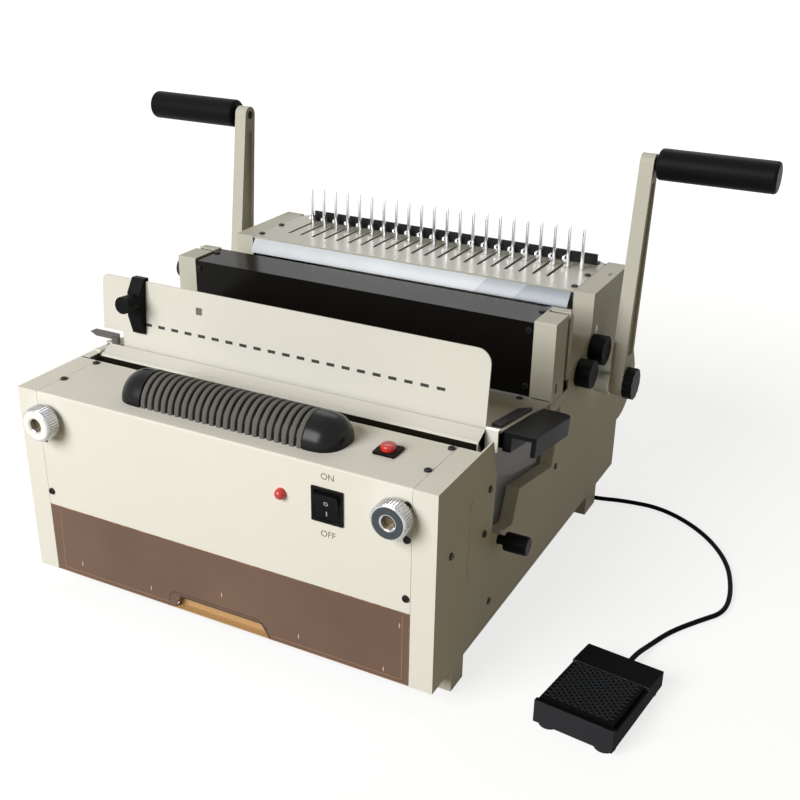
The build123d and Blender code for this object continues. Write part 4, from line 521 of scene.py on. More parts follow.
@dataclass
class Workshop:
    """The finishes, the bodies and the slots that every class here draws on."""

    groups: ShaderGroups = field(default_factory=ShaderGroups)
    materials: dict[str, Material] = field(default_factory=dict)

    def material(self, name: str) -> Material:
        """The material of a finish, built when it is first asked for."""
        if name not in self.materials:
            self.materials[name] = FINISHES[name].build(self.groups)
        return self.materials[name]

    @staticmethod
    def body_of(node: str) -> str:
        """The body that a CAD node rides on."""
        bodies = frame["record"]["behaviour"]["bodies"]
        return next(body for body, members in bodies.items() if node in members)

    @staticmethod
    def slot_of(node: str) -> str:
        """The record's material slot of a CAD node."""
        return next(part["material_slot"] for part in frame["record"]["subparts"] if part["node"] == node)

    def add(self, name: str, shape: Mesh | BMesh, finish: str, slot: str | None = None, node: str | None = None,
            body: str = "chassis") -> Object:
        """Link a finished shape as a piece.

        Args:
            name: the piece's name.
            shape: its mesh, with its place in its points.
            finish: the name of its finish.
            slot: the record's material slot, if it isn't named like the finish; not used.
            node: the CAD node that it stands for.
            body: the body that it rides on.

        Returns:
            The new object.
        """
        mesh = as_mesh(shape, name) if isinstance(shape, BMesh) else shape
        mesh.materials.clear()
        mesh.materials.append(self.material(finish))
        piece = linked(name, mesh)
        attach(piece, body)
        if node:
            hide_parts(node)
        LOG.info("built %s with %d faces", name, len(mesh.polygons))
        return piece

    def soften(self, node: str, width: float, segments: int = 2, finish: str | None = None) -> Object:
        """Stand-in for a CAD node with its sharp edges rounded and marked for an edge tint of rubbing and painted
        highlight.

        Args:
            node: the CAD node's name.
            width: the rounding's width in millimetres.
            segments: faces across each rounding.
            finish: the finish, if it isn't that of the node's slot.

        Returns:
            The new piece.
        """
        bm = bmesh.new()
        bm.from_mesh(frame["nodes"][node].data)
        bmesh.ops.remove_doubles(bm, verts=bm.verts, dist=0.00001)
        bmesh.ops.dissolve_limit(bm, angle_limit=math.radians(0.5), verts=bm.verts, edges=bm.edges)
        layer = bm.faces.layers.float.new("rounded_edge")
        for face in soft_edges(bm, width, segments, ROUNDED_FROM):
            face[layer] = 1.0
        mesh = self.flat_shaded(smoothed(as_mesh(bm, node + "_form"), ROUNDED_FROM))
        slot = self.slot_of(node)
        return self.add(node + "_form", mesh, finish or slot, slot, node, self.body_of(node))

    @staticmethod
    def flat_shaded(mesh: Mesh) -> Mesh:
        """Copy of a mesh whose large faces keep their own normals right up to the rounded edges."""
        holder = linked("holder", mesh)
        holder.modifiers.new("weighted", "WEIGHTED_NORMAL").keep_sharp = True
        return evaluated(holder)

    def repaint(self, piece: Object, finish: str, chosen: Callable[[Vector, Vector], bool]) -> None:
        """Give some of a piece's faces a second finish.

        Args:
            piece: the piece.
            finish: the name of the second finish.
            chosen: tells from a face's middle, in millimetres, and its normal whether it takes the finish.
        """
        mesh = piece.data
        mesh.materials.append(self.material(finish))
        index = len(mesh.materials) - 1
        for polygon in mesh.polygons:
            if chosen((polygon.center - ORIGIN) / MM, polygon.normal):
                polygon.material_index = index


class RepeatTrees:
    """Geometry node trees that repeat a template along a row, round a ring or at given points."""

    INPUTS = {"Geometry": "Geometry", "Template": "Object", "Material": "Material", "Count": "Int",
              "Start": "Vector", "Step": "Vector", "Radius": "Float", "Turn Spread": "Float"}
    SEED = 7

    def __init__(self) -> None:
        """Build the trees."""
        self.row = self.build("repeat_in_row", self.join_row)
        self.ring = self.build("repeat_round_ring", self.join_ring)
        self.points = self.build("repeat_at_points", self.join_points)

    def build(self, name: str, join: Callable[..., None]) -> NodeTree:
        """Make one tree.

        Args:
            name: the tree's name.
            join: adds the nodes that say where the copies go.

        Returns:
            The tree, which ends in real geometry with a material.
        """
        tree, start, end = open_group(name, "Geometry", self.INPUTS, {"Geometry": "Geometry"})
        info, place, real, paint = (tree.nodes.new("GeometryNode" + kind) for kind in (
            "ObjectInfo", "InstanceOnPoints", "RealizeInstances", "SetMaterial"))
        wire(tree, (start, "Template", info, "Object"), (info, "Geometry", place, "Instance"),
             (place, "Instances", real, "Geometry"), (real, "Geometry", paint, "Geometry"),
             (start, "Material", paint, "Material"), (paint, "Geometry", end, "Geometry"))
        join(tree, start, place)
        return tree

    @staticmethod
    def join_row(tree: NodeTree, start: Node, place: Node) -> None:
        """Copies along a straight row."""
        line = tree.nodes.new("GeometryNodeMeshLine")
        wire(tree, (start, "Count", line, "Count"), (start, "Start", line, "Start Location"),
             (start, "Step", line, "Offset"), (line, "Mesh", place, "Points"))

    @staticmethod
    def join_ring(tree: NodeTree, start: Node, place: Node) -> None:
        """Copies round a ring, each turned outward."""
        circle = tree.nodes.new("GeometryNodeMeshCircle")
        spot = tree.nodes.new("GeometryNodeInputPosition")
        aim = add_node(tree, "FunctionNodeAlignEulerToVector", axis="X")
        wire(tree, (start, "Count", circle, "Vertices"), (start, "Radius", circle, "Radius"),
             (circle, "Mesh", place, "Points"), (spot, "Position", aim, "Vector"),
             (aim, "Rotation", place, "Rotation"))

    @classmethod
    def join_points(cls, tree: NodeTree, start: Node, place: Node) -> None:
        """Copies at points that carry their direction, each turned by chance about it."""
        facing = add_node(tree, "GeometryNodeInputNamedAttribute", data_type="FLOAT_VECTOR")
        set_inputs(facing, {"Name": "facing"})
        aim = add_node(tree, "FunctionNodeAlignEulerToVector", axis="Z")
        chance = add_node(tree, "FunctionNodeRandomValue", {"Seed": cls.SEED})
        turn = tree.nodes.new("ShaderNodeCombineXYZ")
        spin = add_node(tree, "FunctionNodeRotateEuler", space="LOCAL")
        wire(tree, (facing, "Attribute", aim, "Vector"), (start, "Turn Spread", chance, 3),
             (chance, 1, turn, "Z"), (aim, "Rotation", spin, "Rotation"), (turn, 0, spin, "Rotate By"),
             (spin, "Rotation", place, "Rotation"), (start, "Geometry", place, "Points"))

    @staticmethod
    def run(tree: NodeTree, points: Mesh, values: dict[str, object]) -> Mesh:
        """Evaluate a tree and return its result as a plain mesh.

        Args:
            tree: one of this class's trees.
            points: the mesh that the tree starts from.
            values: the tree's inputs by name.

        Returns:
            The realised mesh.
        """
        holder = linked("holder", points)
        modifier = holder.modifiers.new("repeat", "NODES")
        modifier.node_group = tree
        sockets = {item.name: item.identifier for item in tree.interface.items_tree if item.in_out == "INPUT"}
        for name, value in values.items():
            modifier[sockets[name]] = value
        return evaluated(holder)


@dataclass
class Maker:
    """What a sub-assembly needs to build its pieces."""

    shop: Workshop
    trees: RepeatTrees

    def soften(self, **widths: float) -> None:
        """Make the stand-ins of CAD nodes, each with its rounding in millimetres."""
        for node, width in widths.items():
            self.shop.soften(node, width)

    def repeat(self, tree: NodeTree, shape: BMesh, finish: str,
               points: Mesh | None = None, **values: object) -> Mesh:
        """Repeat a shape with one of the trees.

        Args:
            tree: the tree.
            shape: what is repeated, in its own space.
            finish: the name of the copies' finish.
            points: the places, for the tree that takes them.
            values: the tree's other inputs.

        Returns:
            All copies as one mesh.
        """
        template = linked("template", smoothed(as_mesh(shape, "template")))
        inputs = {"Template": template, "Material": self.shop.material(finish)}
        inputs.update({name.replace("_", " ").title(): value for name, value in values.items()})
        result = self.trees.run(tree, points or bpy.data.meshes.new("points"), inputs)
        bpy.data.objects.remove(template)
        return result


@dataclass
class Stage:
    """Camera, light, floor and backdrop."""

    camera_place: Triple = (486.789, -636.017, 579.062)
    yaw: float = -0.469
    pitch: float = -0.444
    roll: float = 0.018
    lens: float = 51.72
    sensor: float = 36.0
    shift: tuple[float, float] = (-0.0022, 0.0329)
    # Name, place in millimetres, size in metres and watts of each lamp.
    lamps: tuple[tuple[str, Triple, float, float], ...] = (
        ("key", (-900.0, -2500.0, 1620.0), 1.8, 104.0), ("back", (-600.0, 2200.0, 1900.0), 1.6, 12.0))
    lamp_aim: Triple = (0.0, 200.0, 120.0)
    world_colour: Colour = (1.0, 0.84, 0.52, 1.0)
    world_strength: float = 0.12
    floor_half: float = 6.0
    floor_drop: float = 0.0004
    floor_colour: Colour = (0.34, 0.34, 0.34, 1.0)
    bounce_colour: Colour = (0.30, 0.26, 0.17, 1.0)

    def build(self) -> None:
        """Make everything of the stage."""
        self.add_camera()
        self.add_lamps()
        self.add_world()
        self.add_floor()

    def add_camera(self) -> None:
        """Camera at the photograph's viewing angle."""
        ahead = Vector((math.sin(self.yaw) * math.cos(self.pitch), math.cos(self.yaw) * math.cos(self.pitch),
                        math.sin(self.pitch)))
        level = Vector((math.cos(self.yaw), -math.sin(self.yaw), 0.0))
        over = level.cross(ahead)
        right = level * math.cos(self.roll) + over * math.sin(self.roll)
        up = over * math.cos(self.roll) - level * math.sin(self.roll)
        data = bpy.data.cameras.new("camera")
        data.lens = self.lens
        data.sensor_width = self.sensor
        data.shift_x, data.shift_y = self.shift
        camera = linked("camera", data)
        turn = Matrix((right, up, -ahead)).transposed().to_4x4()
        camera.matrix_world = Matrix.Translation(at(*self.camera_place)) @ turn
        bpy.context.scene.camera = camera

    def add_lamps(self) -> None:
        """Soft light from the front left and above, and a little from behind."""
        for name, place, size, power in self.lamps:
            data = bpy.data.lights.new(name, "AREA")
            data.size = size
            data.energy = power
            lamp = linked(name, data)
            lamp.location = at(*place)
            aim = at(*self.lamp_aim) - lamp.location
            lamp.rotation_euler = aim.to_track_quat("-Z", "Y").to_euler()

    def add_world(self) -> None:
        """White backdrop that lights the scene as a dim warm one."""
        world = bpy.data.worlds.new("world")
        bpy.context.scene.world = world
        world.use_nodes = True
        tree = world.node_tree
        tree.nodes.clear()
        end = tree.nodes.new("ShaderNodeOutputWorld")
        plain = add_node(tree, "ShaderNodeBackground",
                         {"Color": self.world_colour, "Strength": self.world_strength})
        white = add_node(tree, "ShaderNodeBackground", {"Color": WHITE, "Strength": 1.0})
        self.split_rays(tree, plain, white, end)

    @staticmethod
    def split_rays(tree: NodeTree, lighting: Node, shown: Node, end: Node) -> None:
        """Show one shader to camera rays, and to rays that were mirrored or went through glass.

        Args:
            tree: the tree.
            lighting: the shader that all other rays meet.
            shown: the shader that is shown.
            end: the tree's output.
        """
        path = tree.nodes.new("ShaderNodeLightPath")
        total = path.outputs["Is Camera Ray"]
        for name in ("Is Glossy Ray", "Is Transmission Ray"):
            added = add_node(tree, "ShaderNodeMath", operation="ADD", use_clamp=True)
            tree.links.new(total, added.inputs[0])
            tree.links.new(path.outputs[name], added.inputs[1])
            total = added.outputs[0]
        mix = tree.nodes.new("ShaderNodeMixShader")
        tree.links.new(total, mix.inputs[0])
        wire(tree, (lighting, 0, mix, 1), (shown, 0, mix, 2), (mix, 0, end, "Surface"))

    def add_floor(self) -> None:
        """Pale floor that shows white and keeps the object's shadow."""
        bm = bmesh.new()
        bmesh.ops.create_grid(bm, x_segments=1, y_segments=1, size=self.floor_half)
        mesh = as_mesh(bm, "floor")
        floor = linked("floor", mesh)
        floor.location.z = -self.floor_drop
        material = bpy.data.materials.new("floor_paper")
        material.use_nodes = True
        tree = material.node_tree
        shader = tree.nodes["Principled BSDF"]
        set_inputs(shader, {"Base Color": self.floor_colour, "Roughness": 0.9, "Specular IOR Level": 0.0})
        glow = add_node(tree, "ShaderNodeEmission", {"Color": WHITE})
        place = tree.nodes.new("ShaderNodeTexCoord")
        away = add_node(tree, "ShaderNodeVectorMath", operation="LENGTH")
        rise = add_node(tree, "ShaderNodeMapRange",
                        {"From Min": 0.5, "From Max": 1.6, "To Min": 0.78, "To Max": 1.0})
        bounce = add_node(tree, "ShaderNodeBsdfDiffuse", {"Color": self.bounce_colour})
        both = tree.nodes.new("ShaderNodeAddShader")
        wire(tree, (place, "Object", away, 0), (away, "Value", rise, "Value"), (rise, "Result", glow, "Strength"),
             (shader, 0, both, 0), (glow, 0, both, 1))
        self.split_rays(tree, bounce, both, tree.nodes["Material Output"])
        mesh.materials.append(material)


@dataclass
class PedalCord:
    """The pedal's cord on the floor, from the gland under the machine to the pedal's rear."""

    shop: Workshop
    radius: float = 2.2
    points: tuple[Triple, ...] = (
        (136.0, 372.5, 6.5), (165.0, 380.0, 6.5), (194.8, 389.6, 2.6), (222.0, 398.6, 2.5),
        (262.0, 402.0, 2.5), (308.0, 376.5, 2.5), (343.0, 333.3, 2.5), (358.6, 284.0, 2.5),
        (361.3, 246.0, 2.5), (345.0, 223.5, 2.5), (326.6, 194.6, 2.5), (316.2, 165.5, 2.8),
        (311.2, 142.6, 7.0), (309.4, 126.7, 7.0),
    )

    def build(self) -> None:
        curve = bpy.data.curves.new("pedal_lead", "CURVE")
        curve.dimensions = "3D"
        curve.bevel_depth = self.radius * MM
        curve.bevel_resolution = 5
        curve.resolution_u = 12
        curve.use_fill_caps = True
        spline = curve.splines.new("NURBS")
        spline.points.add(len(self.points) - 1)
        for point, place in zip(spline.points, self.points):
            point.co = (*at(*place), 1.0)
        spline.order_u = 3
        spline.use_endpoint_u = True
        curve.materials.append(self.shop.material("cord_rubber"))
        lead = linked("pedal_lead", curve)
        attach(lead, "chassis")
        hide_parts("pedal_cord")


@dataclass
class Casing(Maker):
    """Bent covers and the screws that hold them."""

    half_width: float = 194.3
    deck_slope: float = 9.8
    # Rounding in millimetres and finish, where that isn't the slot's, of each cover; the darker ivory finishes are
    # painted shade.
    covers: dict[str, tuple[float, str | None]] = field(default_factory=lambda: {
        "left_side_cover": (0.5, None), "right_side_cover": (0.5, None), "front_cover": (0.5, None),
        "rear_cover": (0.6, None), "deck_cover": (0.4, "ivory_rear_painted_shade"), "middle_cover": (0.4, None),
        "throat_guide": (0.4, "ivory_rest_painted_shade"), "paper_rest": (0.4, "ivory_rest_painted_shade"), "punch_cover": (0.8, None),
        "punch_blocks": (1.1, "ivory_rear_painted_shade"), "comb_plate": (0.45, "ivory_gloss_painted_shade"), "comb_blocks": (0.7, "ivory_rear_painted_shade")})

    def build(self) -> None:
        """Make the casing's pieces."""
        pieces = {node: self.shop.soften(node, width, finish=finish) for node, (width, finish) in self.covers.items()}
        self.shop.repaint(pieces["punch_blocks"], "black_satin", lambda spot, _: spot.x < -self.half_width - 0.4)
        mesh = self.repeat(self.trees.points, self.pan_head(), "screw_black",
                           points=facing_points(self.screw_places()), turn_spread=math.pi)
        self.shop.add("cover_screws", mesh, "screw_black", node="screws")
        self.add_gap()
        self.add_side_marks()

    def add_gap(self) -> None:
        """Black sheet of painted shade in the gap between the front top and the strip behind it, with the strip's
        pointed end.
        """
        bm = bmesh.new()
        slab(bm, (-183.0, 89.05, 184.0), (183.0, 89.85, 191.6))
        self.shop.add("throat_seal", bm, "gap_shade_black", "black_satin")
        bm = bmesh.new()
        prism(bm, [at(x, y, 194.6) for x, y in ((-183.6, 90.6), (-192.4, 92.0), (-183.6, 106.0))], UP * 1.2)
        slab(bm, (-192.5, 77.0, 193.7), (-184.0, 108.0, 194.3))
        soft_edges(bm, 0.2, 1)
        self.shop.add("throat_end", bm, "ivory_paint")

    def add_side_marks(self) -> None:
        """Red pointer by the size knobs, and a slot in the right end block's top drawn as a flat dark mark: painted
        shade for its depth.
        """
        bm = bmesh.new()
        prism(bm, [at(self.half_width - 0.1, y, z) for y, z in ((332.6, 201.5), (340.4, 207.2), (332.6, 212.9))],
              SIDEWAYS * 0.25)
        self.shop.add("size_pointer", bm, "red_plastic", "ivory_paint")
        bm = bmesh.new()
        radius = 1.3
        turns = [math.pi * index / 8 for index in range(9)]
        prism(bm, [at(188.0 + way * radius * math.cos(a), middle + way * radius * math.sin(a), 244.95)
                   for way, middle in ((1.0, 387.0), (-1.0, 381.0)) for a in turns], UP * 0.2)
        self.shop.add("block_slot", bm, "mark_grey", "ivory_paint")

    def screw_places(self) -> list[tuple[Vector, Vector]]:
        """Seat and direction of every screw, each spot once on either side."""
        slope = math.radians(self.deck_slope)
        spots = [(170.4, 0.0, z, FORWARD) for z in (179.4, 150.8, 100.6)]
        spots += [(171.2, y, 193.4, UP) for y in (30.0, 70.5)]
        spots += [(self.half_width, y, z, SIDEWAYS) for y, z in (
            (24.9, 130.6), (94.8, 153.5), (86.6, 117.7), (104.6, 44.5), (249.0, 103.6))]
        spots.append((169.0, 111.0 + 104.0 * math.cos(slope), 196.2 - 104.0 * math.sin(slope),
                      Vector((0.0, math.sin(slope), math.cos(slope)))))
        spots += [(170.0, 223.0, z, FORWARD) for z in (187.0, 238.0)]
        spots.append((170.0, 253.0, 245.5, UP))
        spots += [(170.5, y, 245.0, UP) for y in (333.0, 370.0)]
        return [(at(side * x, y, z), Vector((side * way.x, way.y, way.z)))
                for side in (-1, 1) for x, y, z, way in spots]

    @staticmethod
    def pan_head(radius: float = 3.05, height: float = 1.55, arm: float = 1.7, half: float = 0.42,
                 depth: float = 0.9, taper: float = 0.8) -> BMesh:
        """One screw head with a cross recess.

        Args:
            radius: the head's radius in millimetres.
            height: its height.
            arm: the reach of the cross recess.
            half: half the recess's width.
            depth: the recess's depth.
            taper: the recess's size at its bottom against its top.

        Returns:
            The head, standing on the origin.
        """
        bm = bmesh.new()
        rings = [ring(bm, radius * share, height * level, 24)
                 for share, level in ((1.0, 0.0), (1.0, 0.45), (0.93, 0.8), (0.8, 1.0))]
        for low, high in zip(rings, rings[1:]):
            bridge(bm, low, high)
        bm.faces.new(rings[0][::-1])
        corners = [(arm, half), (half, half), (half, arm), (-half, arm), (-half, half), (-arm, half),
                   (-arm, -half), (-half, -half), (-half, -arm), (half, -arm), (half, -half), (arm, -half)]
        top = [bm.verts.new((x * MM, y * MM, height * MM)) for x, y in corners]
        low = [bm.verts.new((x * taper * MM, y * taper * MM, (height - depth) * MM)) for x, y in corners]
        rim = [bm.edges.new(pair) for pair in zip(top, top[1:] + top[:1])]
        around = [bm.edges.get(pair) for pair in zip(rings[-1], rings[-1][1:] + rings[-1][:1])]
        bmesh.ops.triangle_fill(bm, use_beauty=True, edges=rim + around)
        bridge(bm, top, low)
        bm.faces.new(low)
        bmesh.ops.recalc_face_normals(bm, faces=bm.faces)
        return bm


@dataclass
class CarryHandle(Maker):
    """Half-round handle with soft ribs between glossy ends."""

    rib_count: int = 23
    first: float = -76.2
    last: float = 70.2
    radius: float = 23.0
    rib_width: float = 4.7
    rib_depth: float = 2.4
    place: tuple[float, float] = (38.0, 193.4)
    ends: tuple[float, float] = (-107.0, 101.0)
    end_straight: float = 4.5
    bluntness: float = 2.5
    end_steps: int = 14

    def build(self) -> None:
        """Make the handle."""
        core = merged("handle_core", [as_mesh(self.bent(self.core_outline(), 40), "core")],
                      Matrix.Translation(at(0.0, *self.place)))
        self.shop.add("handle_core", core, "handle_black", self.shop.slot_of("carry_handle"), "carry_handle")
        step = (self.last - self.first) / (self.rib_count - 1)
        mesh = self.repeat(self.trees.row, self.bent(self.rib_outline(), 28), "rib_rubber", count=self.rib_count,
                           start=at(self.first, *self.place), step=SIDEWAYS * step * MM)
        self.shop.add("grip_ribs", mesh, "rib_rubber", node="handle_ribs")

    def rib_outline(self) -> list[tuple[float, float]]:
        """Section of a rib: places along the handle and radii."""
        half = self.rib_width / 2
        low = self.radius - self.rib_depth - 0.3
        arch = [(half * 0.35, self.radius - 0.08), (half * 0.8, self.radius - 0.5), (half, self.radius - 1.4),
                (half, low)]
        return [(-x, r) for x, r in reversed(arch)] + arch

    def core_outline(self) -> list[tuple[float, float]]:
        """Section of the core with its blunt glossy ends."""
        shares = [math.sin(math.pi / 2 * index / self.end_steps) for index in range(self.end_steps + 1)]
        curve = [(self.radius * share,
                  max(self.radius * (1.0 - share ** self.bluntness) ** (1.0 / self.bluntness), 0.05))
                 for share in shares]
        left, right = (self.ends[0] + self.radius, self.ends[1] - self.radius)
        low = self.radius - self.rib_depth
        middle = [(left + self.end_straight, self.radius), (left + self.end_straight, low),
                  (right - self.end_straight, low), (right - self.end_straight, self.radius)]
        return [(left - x, r) for x, r in reversed(curve)] + middle + [(right + x, r) for x, r in curve]

    @staticmethod
    def bent(section: list[tuple[float, float]], steps: int) -> BMesh:
        """A section led over the handle in a half circle.

        Args:
            section: places along the handle and radii, in millimetres, in order.
            steps: faces over the half circle.

        Returns:
            The closed body, in metres.
        """
        bm = bmesh.new()
        angles = [math.pi * index / steps for index in range(steps + 1)]
        rows = [[bm.verts.new((x * MM, -r * MM * math.cos(angle), r * MM * math.sin(angle))) for x, r in section]
                for angle in angles]
        for before, after in zip(rows, rows[1:]):
            bridge(bm, before, after)
        bm.faces.new(rows[0])
        bm.faces.new(rows[-1][::-1])
        bmesh.ops.recalc_face_normals(bm, faces=bm.faces)
        return bm


@dataclass
class FrontControls(Maker):
    """Knurled knobs, mains switch, lamp and push button."""

    knob_x: float = 163.0
    knob_z: float = 171.0
    knob_radius: float = 15.0
    teeth: int = 40
    rocker_x: float = 104.5
    rocker_z: float = 161.0
    lamp_x: float = 64.0
    button: Triple = (132.0, 43.0, 193.4)
    words: tuple[tuple[str, float], ...] = (("ON", 184.5), ("OFF", 136.0))
    word_size: float = 7.4

    def build(self) -> None:
        """Make the controls."""
        for side, name in ((-1, "left"), (1, "right")):
            self.add_knob(side, name)
        self.soften(rocker_bezel=0.5, rocker=0.4, button_base=0.4)
        self.add_domes()
        self.add_marks()
        for text, height in self.words:
            self.add_word(text, height)

    def add_knob(self, side: int, name: str) -> None:
        """Knurled chrome knob with a bevelled face and a socket."""
        r = self.knob_radius
        move = turned_forward(side * self.knob_x, 0.0, self.knob_z)
        body = lathe([(0.0, 0.2), (6.5, 0.2), (6.5, 4.0), (r - 1.6, 4.0), (r - 1.0, 4.5), (r - 1.0, 15.2),
                      (r - 1.4, 16.4), (r - 2.0, 16.8), (6.2, 16.8), (5.5, 16.2), (5.5, 11.0), (0.0, 11.0)], 64)
        bm = bmesh.new()
        foot = ((-0.6, -0.85, 4.6), (1.0, -0.35, 4.9), (1.0, 0.35, 4.9), (-0.6, 0.85, 4.6))
        prism(bm, [Vector(corner) * MM for corner in foot], UP * 10.3)
        teeth = self.repeat(self.trees.ring, bm, "chrome_metal", count=self.teeth, radius=(r - 1.05) * MM)
        label = name + "_knurled_knob"
        self.shop.add(label, merged(label, [body, teeth], move), "chrome_metal", node=name + "_front_knob",
                      body=name + "_knob")
        # The left knob's face is bright and the right knob's face is dark: painted reflection on two like faces.
        for part, finish, outline in (
            ("face", "face_painted_bright_reflection" if side < 0 else "face_painted_dark_reflection",
             [(6.9, 16.7), (12.6, 16.7), (12.6, 16.98), (6.9, 16.98), (6.9, 16.7)]),
            ("socket", "socket_brown", [(0.0, 11.0), (5.3, 11.0), (5.3, 11.5), (0.0, 11.5)]),
        ):
            label = f"{name}_knob_{part}"
            self.shop.add(label, merged(label, [lathe(outline, 64)], move), finish, "chrome_metal",
                          body=name + "_knob")

    def add_domes(self) -> None:
        """Domed red lens in a thin collar, and the round red cap with a rolled edge on its stem."""
        lens = lathe([(0.0, -8.0), (3.4, -8.0), (3.4, 0.0), (4.6, 0.0), (4.6, 1.6), (4.3, 3.2), (3.5, 4.7),
                      (2.2, 5.7), (1.0, 6.05), (0.0, 6.1)], 32)
        self.shop.add("lamp_lens", merged("lamp_lens", [lens], turned_forward(self.lamp_x, 0.0, self.rocker_z)),
                      "red_plastic", node="indicator_lamp")
        cap = lathe([(0.0, -11.4), (2.6, -11.4), (2.6, 0.0), (6.2, 0.0), (6.2, 4.9), (6.0, 5.9), (5.3, 6.6),
                     (4.2, 6.95), (0.0, 7.0)], 40)
        self.shop.add("button_cap", merged("button_cap", [cap], Matrix.Translation(at(*self.button))),
                      "red_plastic", node="push_button", body="button")

    def on_rocker(self, height: float) -> Matrix:
        """The way from a mark's own axes to its spot on the rocker's face, at a height in millimetres."""
        mesh = frame["nodes"]["rocker"].data
        tree = BVHTree.FromPolygons([point.co for point in mesh.vertices],
                                    [tuple(polygon.vertices) for polygon in mesh.polygons])
        spot, normal, _, _ = tree.ray_cast(at(self.rocker_x, -60.0, height), -FORWARD)
        return Matrix.Translation(spot) @ normal.to_track_quat("Z", "Y").to_matrix().to_4x4()

    def add_marks(self) -> None:
        """The line and ring on the rocker."""
        circle = lathe([(1.2, -0.1), (1.9, -0.1), (1.9, 0.15), (1.2, 0.15), (1.2, -0.1)], 28)
        circle.transform(self.on_rocker(self.rocker_z + 2.8))
        bm = bmesh.new()
        slab(bm, (-0.4, -1.9, -0.1), (0.4, 1.9, 0.15), Vector())
        bm.transform(self.on_rocker(self.rocker_z - 6.0))
        mesh = merged("rocker_marks", [circle, as_mesh(bm, "line")])
        self.shop.add("rocker_marks", mesh, "mark_white", "black_plastic", body="switch_rocker")

    def add_word(self, text: str, height: float) -> None:
        """One printed word by the switch, as thin raised ink."""
        curve = bpy.data.curves.new("word_" + text, "FONT")
        curve.body = text
        curve.size = self.word_size * MM
        curve.align_x = "CENTER"
        curve.align_y = "CENTER"
        curve.extrude = 0.03 * MM
        mesh = evaluated(linked("word", curve))
        mesh.transform(turned_forward(self.rocker_x, -0.03, height))
        self.shop.add("word_" + text.lower(), mesh, "mark_grey", "ivory_paint")


@dataclass
class PaperSide(Maker):
    """The marks on the paper rest, its guide and the small bright pieces."""

    lean: float = 5.5
    fold: tuple[float, float] = (109.0, 199.0)
    first_mark: float = -143.8
    marks: int = 21
    ink: float = 0.06

    def on_rest(self, x: float, up: float) -> Vector:
        """Place on the leaning rest: millimetres across and up its face."""
        local = self.tilt() @ Vector((x, 0.0, up))
        return at(local.x, self.fold[0] + local.y, self.fold[1] + local.z)

    def tilt(self) -> Matrix:
        """The rest's lean."""
        return Matrix.Rotation(math.radians(-self.lean), 4, "X")

    def mark(self, half_width: float, half_height: float) -> BMesh:
        """Printed mark on the rest's face, round the origin."""
        bm = bmesh.new()
        slab(bm, (-half_width, -self.ink, -half_height), (half_width, 0.0, half_height), Vector())
        bm.transform(self.tilt())
        return bm

    def build(self) -> None:
        """Make the marks and the guide."""
        mesh = self.repeat(self.trees.row, self.mark(3.7, 1.35), "scale_ink", count=self.marks,
                           start=self.on_rest(self.first_mark, 22.0), step=SIDEWAYS * PITCH * MM)
        self.shop.add("rest_marks", mesh, "scale_ink", "ivory_paint")
        square = self.mark(3.2, 3.2)
        square.transform(Matrix.Translation(self.on_rest(-89.4, 43.7)))
        self.shop.add("rest_square", square, "mark_grey", "ivory_paint")
        self.soften(margin_guide=0.5)
        knob = self.shop.soften("margin_knob", 0.4)
        self.shop.repaint(knob, "tip_beige", lambda spot, _: spot.y < 88.0)
        brackets = self.shop.soften("slot_brackets", 0.2, finish="ivory_paint")
        self.shop.repaint(brackets, "blade_grey", lambda spot, _: spot.x < -150.0 and spot.z > 201.0)
        self.shop.repaint(brackets, "bright_metal", lambda spot, _: spot.x > 150.0 and spot.z > 197.0)
        self.soften(lock_bar=0.3)


